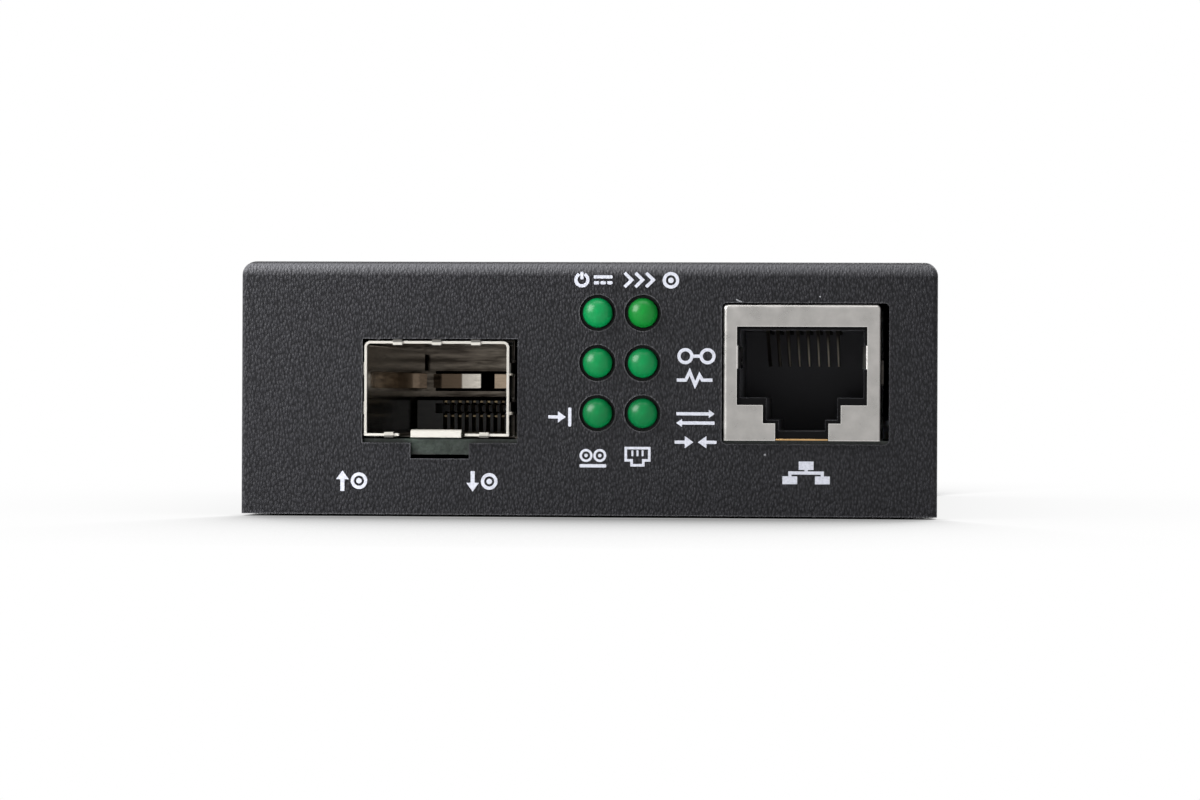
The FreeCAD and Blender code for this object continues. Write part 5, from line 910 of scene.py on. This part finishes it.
class CONVERTER_OT_jack_trim(bpy.types.Operator):
    """Adds the spring that grounds the network jack, and the gilt strip at the foot of its mouth"""

    bl_idname = "converter.jack_trim"
    bl_label = "Jack trim"

    def execute(self, context):
        low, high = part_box("jack_shield")
        piece = begin_piece("jack_ground_spring")
        block((high.x, low.y + 0.35 * MM, 13.6 * MM), (high.x + 0.3 * MM, low.y + 4.0 * MM, 16.1 * MM))
        bpy.ops.mesh.bevel(offset=0.12 * MM, segments=2)
        set_aside()
        end_piece(piece, shaded_spring())

        piece = begin_piece("jack_mouth_strip")
        middle, board_top = (low.x + high.x) / 2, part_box("circuit_board")[1].z
        block(
            (middle - 2.65 * MM, low.y + 0.02 * MM, board_top + 0.01 * MM),
            (middle + 2.65 * MM, low.y + 0.25 * MM, board_top + 0.2 * MM),
        )
        bpy.ops.mesh.bevel(offset=0.03 * MM, segments=1)
        set_aside()
        end_piece(piece, flash_gold())
        return {"FINISHED"}


class CONVERTER_OT_rear_symbols(bpy.types.Operator):
    """Prints the polarity sign below the power inlet"""

    bl_idname = "converter.rear_symbols"
    bl_label = "Rear symbols"

    def execute(self, context):
        sizes = context.scene.converter_sizes
        wide = 1.2 * sizes.stroke
        y, depth = REAR_Y - 0.005 * MM, sizes.ink_build + 0.005 * MM
        piece = begin_piece("symbol_polarity")
        z = 8.0 * MM
        low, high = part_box("power_inlet_pin")
        x = (low.x + high.x) / 2
        ink_line(arc_points(x, z, 1.0 * MM, math.radians(35), math.radians(290)), y, wide, depth, 0.0)
        ink_disc(x, y, z, 0.35 * MM, depth)
        for side in (-1, 1):
            ink_ring(x + side * 3.1 * MM, y, z, 0.95 * MM, wide, depth)
        for start, end in ((-1.95, -1.35), (0.55, 1.95), (-2.9, -3.3)):
            ink_line([(x + start * MM, z), (x + end * MM, z)], y, wide, depth, 0.0)
        sign = [(0.1, 0.1), (0.1, 0.5), (-0.1, 0.5), (-0.1, 0.1), (-0.5, 0.1), (-0.5, -0.1)]
        sign += [(-a, -b) for a, b in sign]
        ink_shape([(x + (3.1 + a) * MM, z + b * MM) for a, b in sign], y, depth)
        end_piece(piece, screen_ink())
        return {"FINISHED"}


# Stage


def aim(thing, target, roll=0.0):
    """Turns a lamp or the camera towards a point."""
    turn = (Vector(target) - thing.location).to_track_quat("-Z", "Y")
    thing.rotation_euler = (turn.to_matrix() @ Matrix.Rotation(roll, 3, "Z")).to_euler()


def soft_lamp(name, place, target, width, height, power):
    """A large soft box."""
    bpy.ops.object.light_add(type="AREA", location=place)
    lamp = bpy.context.object
    lamp.name = name
    lamp.data.shape = "RECTANGLE"
    lamp.data.size = width
    lamp.data.size_y = height
    lamp.data.energy = power
    aim(lamp, target)


def seen_white(tree):
    """1 for what the camera, a reflection or a clear piece sees, and 0 for light that falls on the object."""
    path = add_node(tree, "ShaderNodeLightPath")
    either = add_node(
        tree,
        "ShaderNodeMath",
        {"operation": "MAXIMUM"},
        {0: path.outputs["Is Camera Ray"], 1: path.outputs["Is Glossy Ray"]},
    ).outputs["Value"]
    return add_node(
        tree, "ShaderNodeMath", {"operation": "MAXIMUM"}, {0: either, 1: path.outputs["Is Transmission Ray"]}
    ).outputs["Value"]


class CONVERTER_OT_stage(bpy.types.Operator):
    """Sets the white table, the soft light and the camera"""

    bl_idname = "converter.stage"
    bl_label = "Stage"

    def execute(self, context):
        scene = context.scene
        scene.view_settings.view_transform = "Standard"
        bpy.ops.object.select_all(action="DESELECT")
        bpy.ops.mesh.primitive_plane_add(size=8, location=(0, 0, -0.00002))
        floor = bpy.context.object
        floor.name = "white_table"
        material, tree, shader, place = new_material(
            "white_table_top", grey(0.86), 0.9, Specular_IOR_Level=0.0
        )
        # What the camera sees is plain white, darkened where the case hides the room: deepest before
        # and behind it, and hardly at its sides. The dark part widens with the distance from the case.
        reach = 80 * MM
        open_sky = add_node(
            tree, "ShaderNodeAmbientOcclusion", {"samples": 16, "Distance": reach}
        ).outputs["AO"]
        middle = (PANEL_Y + REAR_Y) / 2
        half = (REAR_Y - PANEL_Y) / 2
        centred = add_node(
            tree, "ShaderNodeMapping", {"Location": (0.0, -middle, 0.0)}, {"Vector": place}
        ).outputs["Vector"]
        off_middle = add_node(
            tree, "ShaderNodeVectorMath", {"operation": "ABSOLUTE"}, {0: centred}
        ).outputs["Vector"]
        away = add_node(tree, "ShaderNodeSeparateXYZ", None, {"Vector": off_middle}).outputs
        flank = CAD_BOX[1].x
        limits = []
        for side in (-1, 1):
            spread = {"From Min": half + 2 * MM, "From Max": half + reach}
            spread |= {"To Min": flank + side * 1.5 * MM, "To Max": flank + side * 35 * MM}
            limit = add_node(tree, "ShaderNodeMapRange", spread, {"Value": away["Y"]})
            limits.append(limit.outputs["Result"])
        inner, outer = limits
        beside = add_node(
            tree, "ShaderNodeMapRange", None, {"Value": away["X"], "From Min": outer, "From Max": inner}
        ).outputs["Result"]
        ends = along_y(tree, off_middle, half - 4 * MM, half + 4 * MM)
        depth = add_node(
            tree,
            "ShaderNodeMath",
            {"operation": "MULTIPLY_ADD", 1: 2.1, 2: 0.15},
            {0: times(tree, ends, beside)},
        ).outputs["Value"]
        glow_level = add_node(
            tree, "ShaderNodeMath", {"operation": "POWER"}, {0: open_sky, 1: depth}
        ).outputs["Value"]
        glow = add_node(tree, "ShaderNodeEmission", {"Color": grey(1.0)}, {"Strength": glow_level})
        mix = add_node(
            tree, "ShaderNodeMixShader", None, {0: seen_white(tree), 1: shader.outputs[0], 2: glow.outputs[0]}
        )
        tree.links.new(mix.outputs[0], tree.nodes["Material Output"].inputs["Surface"])
        floor.data.materials.append(material)

        world = bpy.data.worlds.new("white_room")
        world.use_nodes = True
        scene.world = world
        tree = world.node_tree
        tree.nodes["Background"].inputs["Color"].default_value = grey(1.0)
        tree.nodes["Background"].inputs["Strength"].default_value = 0.2
        white = add_node(tree, "ShaderNodeBackground", {"Color": grey(1.0), "Strength": 1.0})
        mix = add_node(
            tree,
            "ShaderNodeMixShader",
            None,
            {0: seen_white(tree), 1: tree.nodes["Background"].outputs[0], 2: white.outputs[0]},
        )
        tree.links.new(mix.outputs[0], tree.nodes["World Output"].inputs["Surface"])

        soft_lamp("key_light", (-0.13, -0.112, 0.105), (-0.028, PANEL_Y, 0.013), 0.13, 0.13, 0.7)
        soft_lamp("fill_light", (0.9, -0.9, 0.35), (0, -0.03, 0.012), 0.6, 0.6, 0.3)
        soft_lamp("back_light", (0.3, 0.6, 0.35), (0, 0.03, 0.012), 0.4, 0.4, 2.6)
        soft_lamp("top_light", (0.0, 0.12, 0.9), (0, 0, 0), 0.8, 0.8, 5.0)

        # Level with the middle of the panel and a little to its right, as in the photograph
        distance = scene.converter_sizes.camera_distance
        bpy.ops.object.camera_add(location=(35.0 * MM, PANEL_Y - distance, TOP_Z / 2))
        camera = bpy.context.object
        camera.name = "photo_camera"
        camera.data.sensor_width = 36.0
        camera.data.lens = 118.5
        camera.data.shift_x = -0.071
        camera.data.clip_start = 0.01
        aim(camera, (9.95 * MM, PANEL_Y, 11.98 * MM), math.radians(0.25))
        scene.camera = camera
        return {"FINISHED"}


class CONVERTER_PT_panel(bpy.types.Panel):
    """Lists the converter's finishes, sizes and steps"""

    bl_idname = "CONVERTER_PT_panel"
    bl_label = "Media converter"
    bl_space_type = "VIEW_3D"
    bl_region_type = "UI"
    bl_category = "Converter"

    def draw(self, context):
        for group in (context.scene.converter_finish, context.scene.converter_sizes):
            for name in group.__annotations__:
                self.layout.prop(group, name)
        for step in STEPS:
            self.layout.operator(step.bl_idname)


STEPS = (
    CONVERTER_OT_case,
    CONVERTER_OT_ports,
    CONVERTER_OT_lamps,
    CONVERTER_OT_board,
    CONVERTER_OT_front_symbols,
    CONVERTER_OT_rear_symbols,
    CONVERTER_OT_jack_trim,
    CONVERTER_OT_stage,
)
CLASSES = (ConverterFinish, ConverterSizes, *STEPS, CONVERTER_PT_panel)


def register():
    for made in CLASSES:
        bpy.utils.register_class(made)
    bpy.types.Scene.converter_finish = PointerProperty(type=ConverterFinish)
    bpy.types.Scene.converter_sizes = PointerProperty(type=ConverterSizes)


def unregister():
    del bpy.types.Scene.converter_sizes
    del bpy.types.Scene.converter_finish
    for made in reversed(CLASSES):
        bpy.utils.unregister_class(made)


def main():
    register()
    for step in STEPS:
        group, name = step.bl_idname.split(".")
        getattr(getattr(bpy.ops, group), name)()


if __name__ == "__main__":
    main()
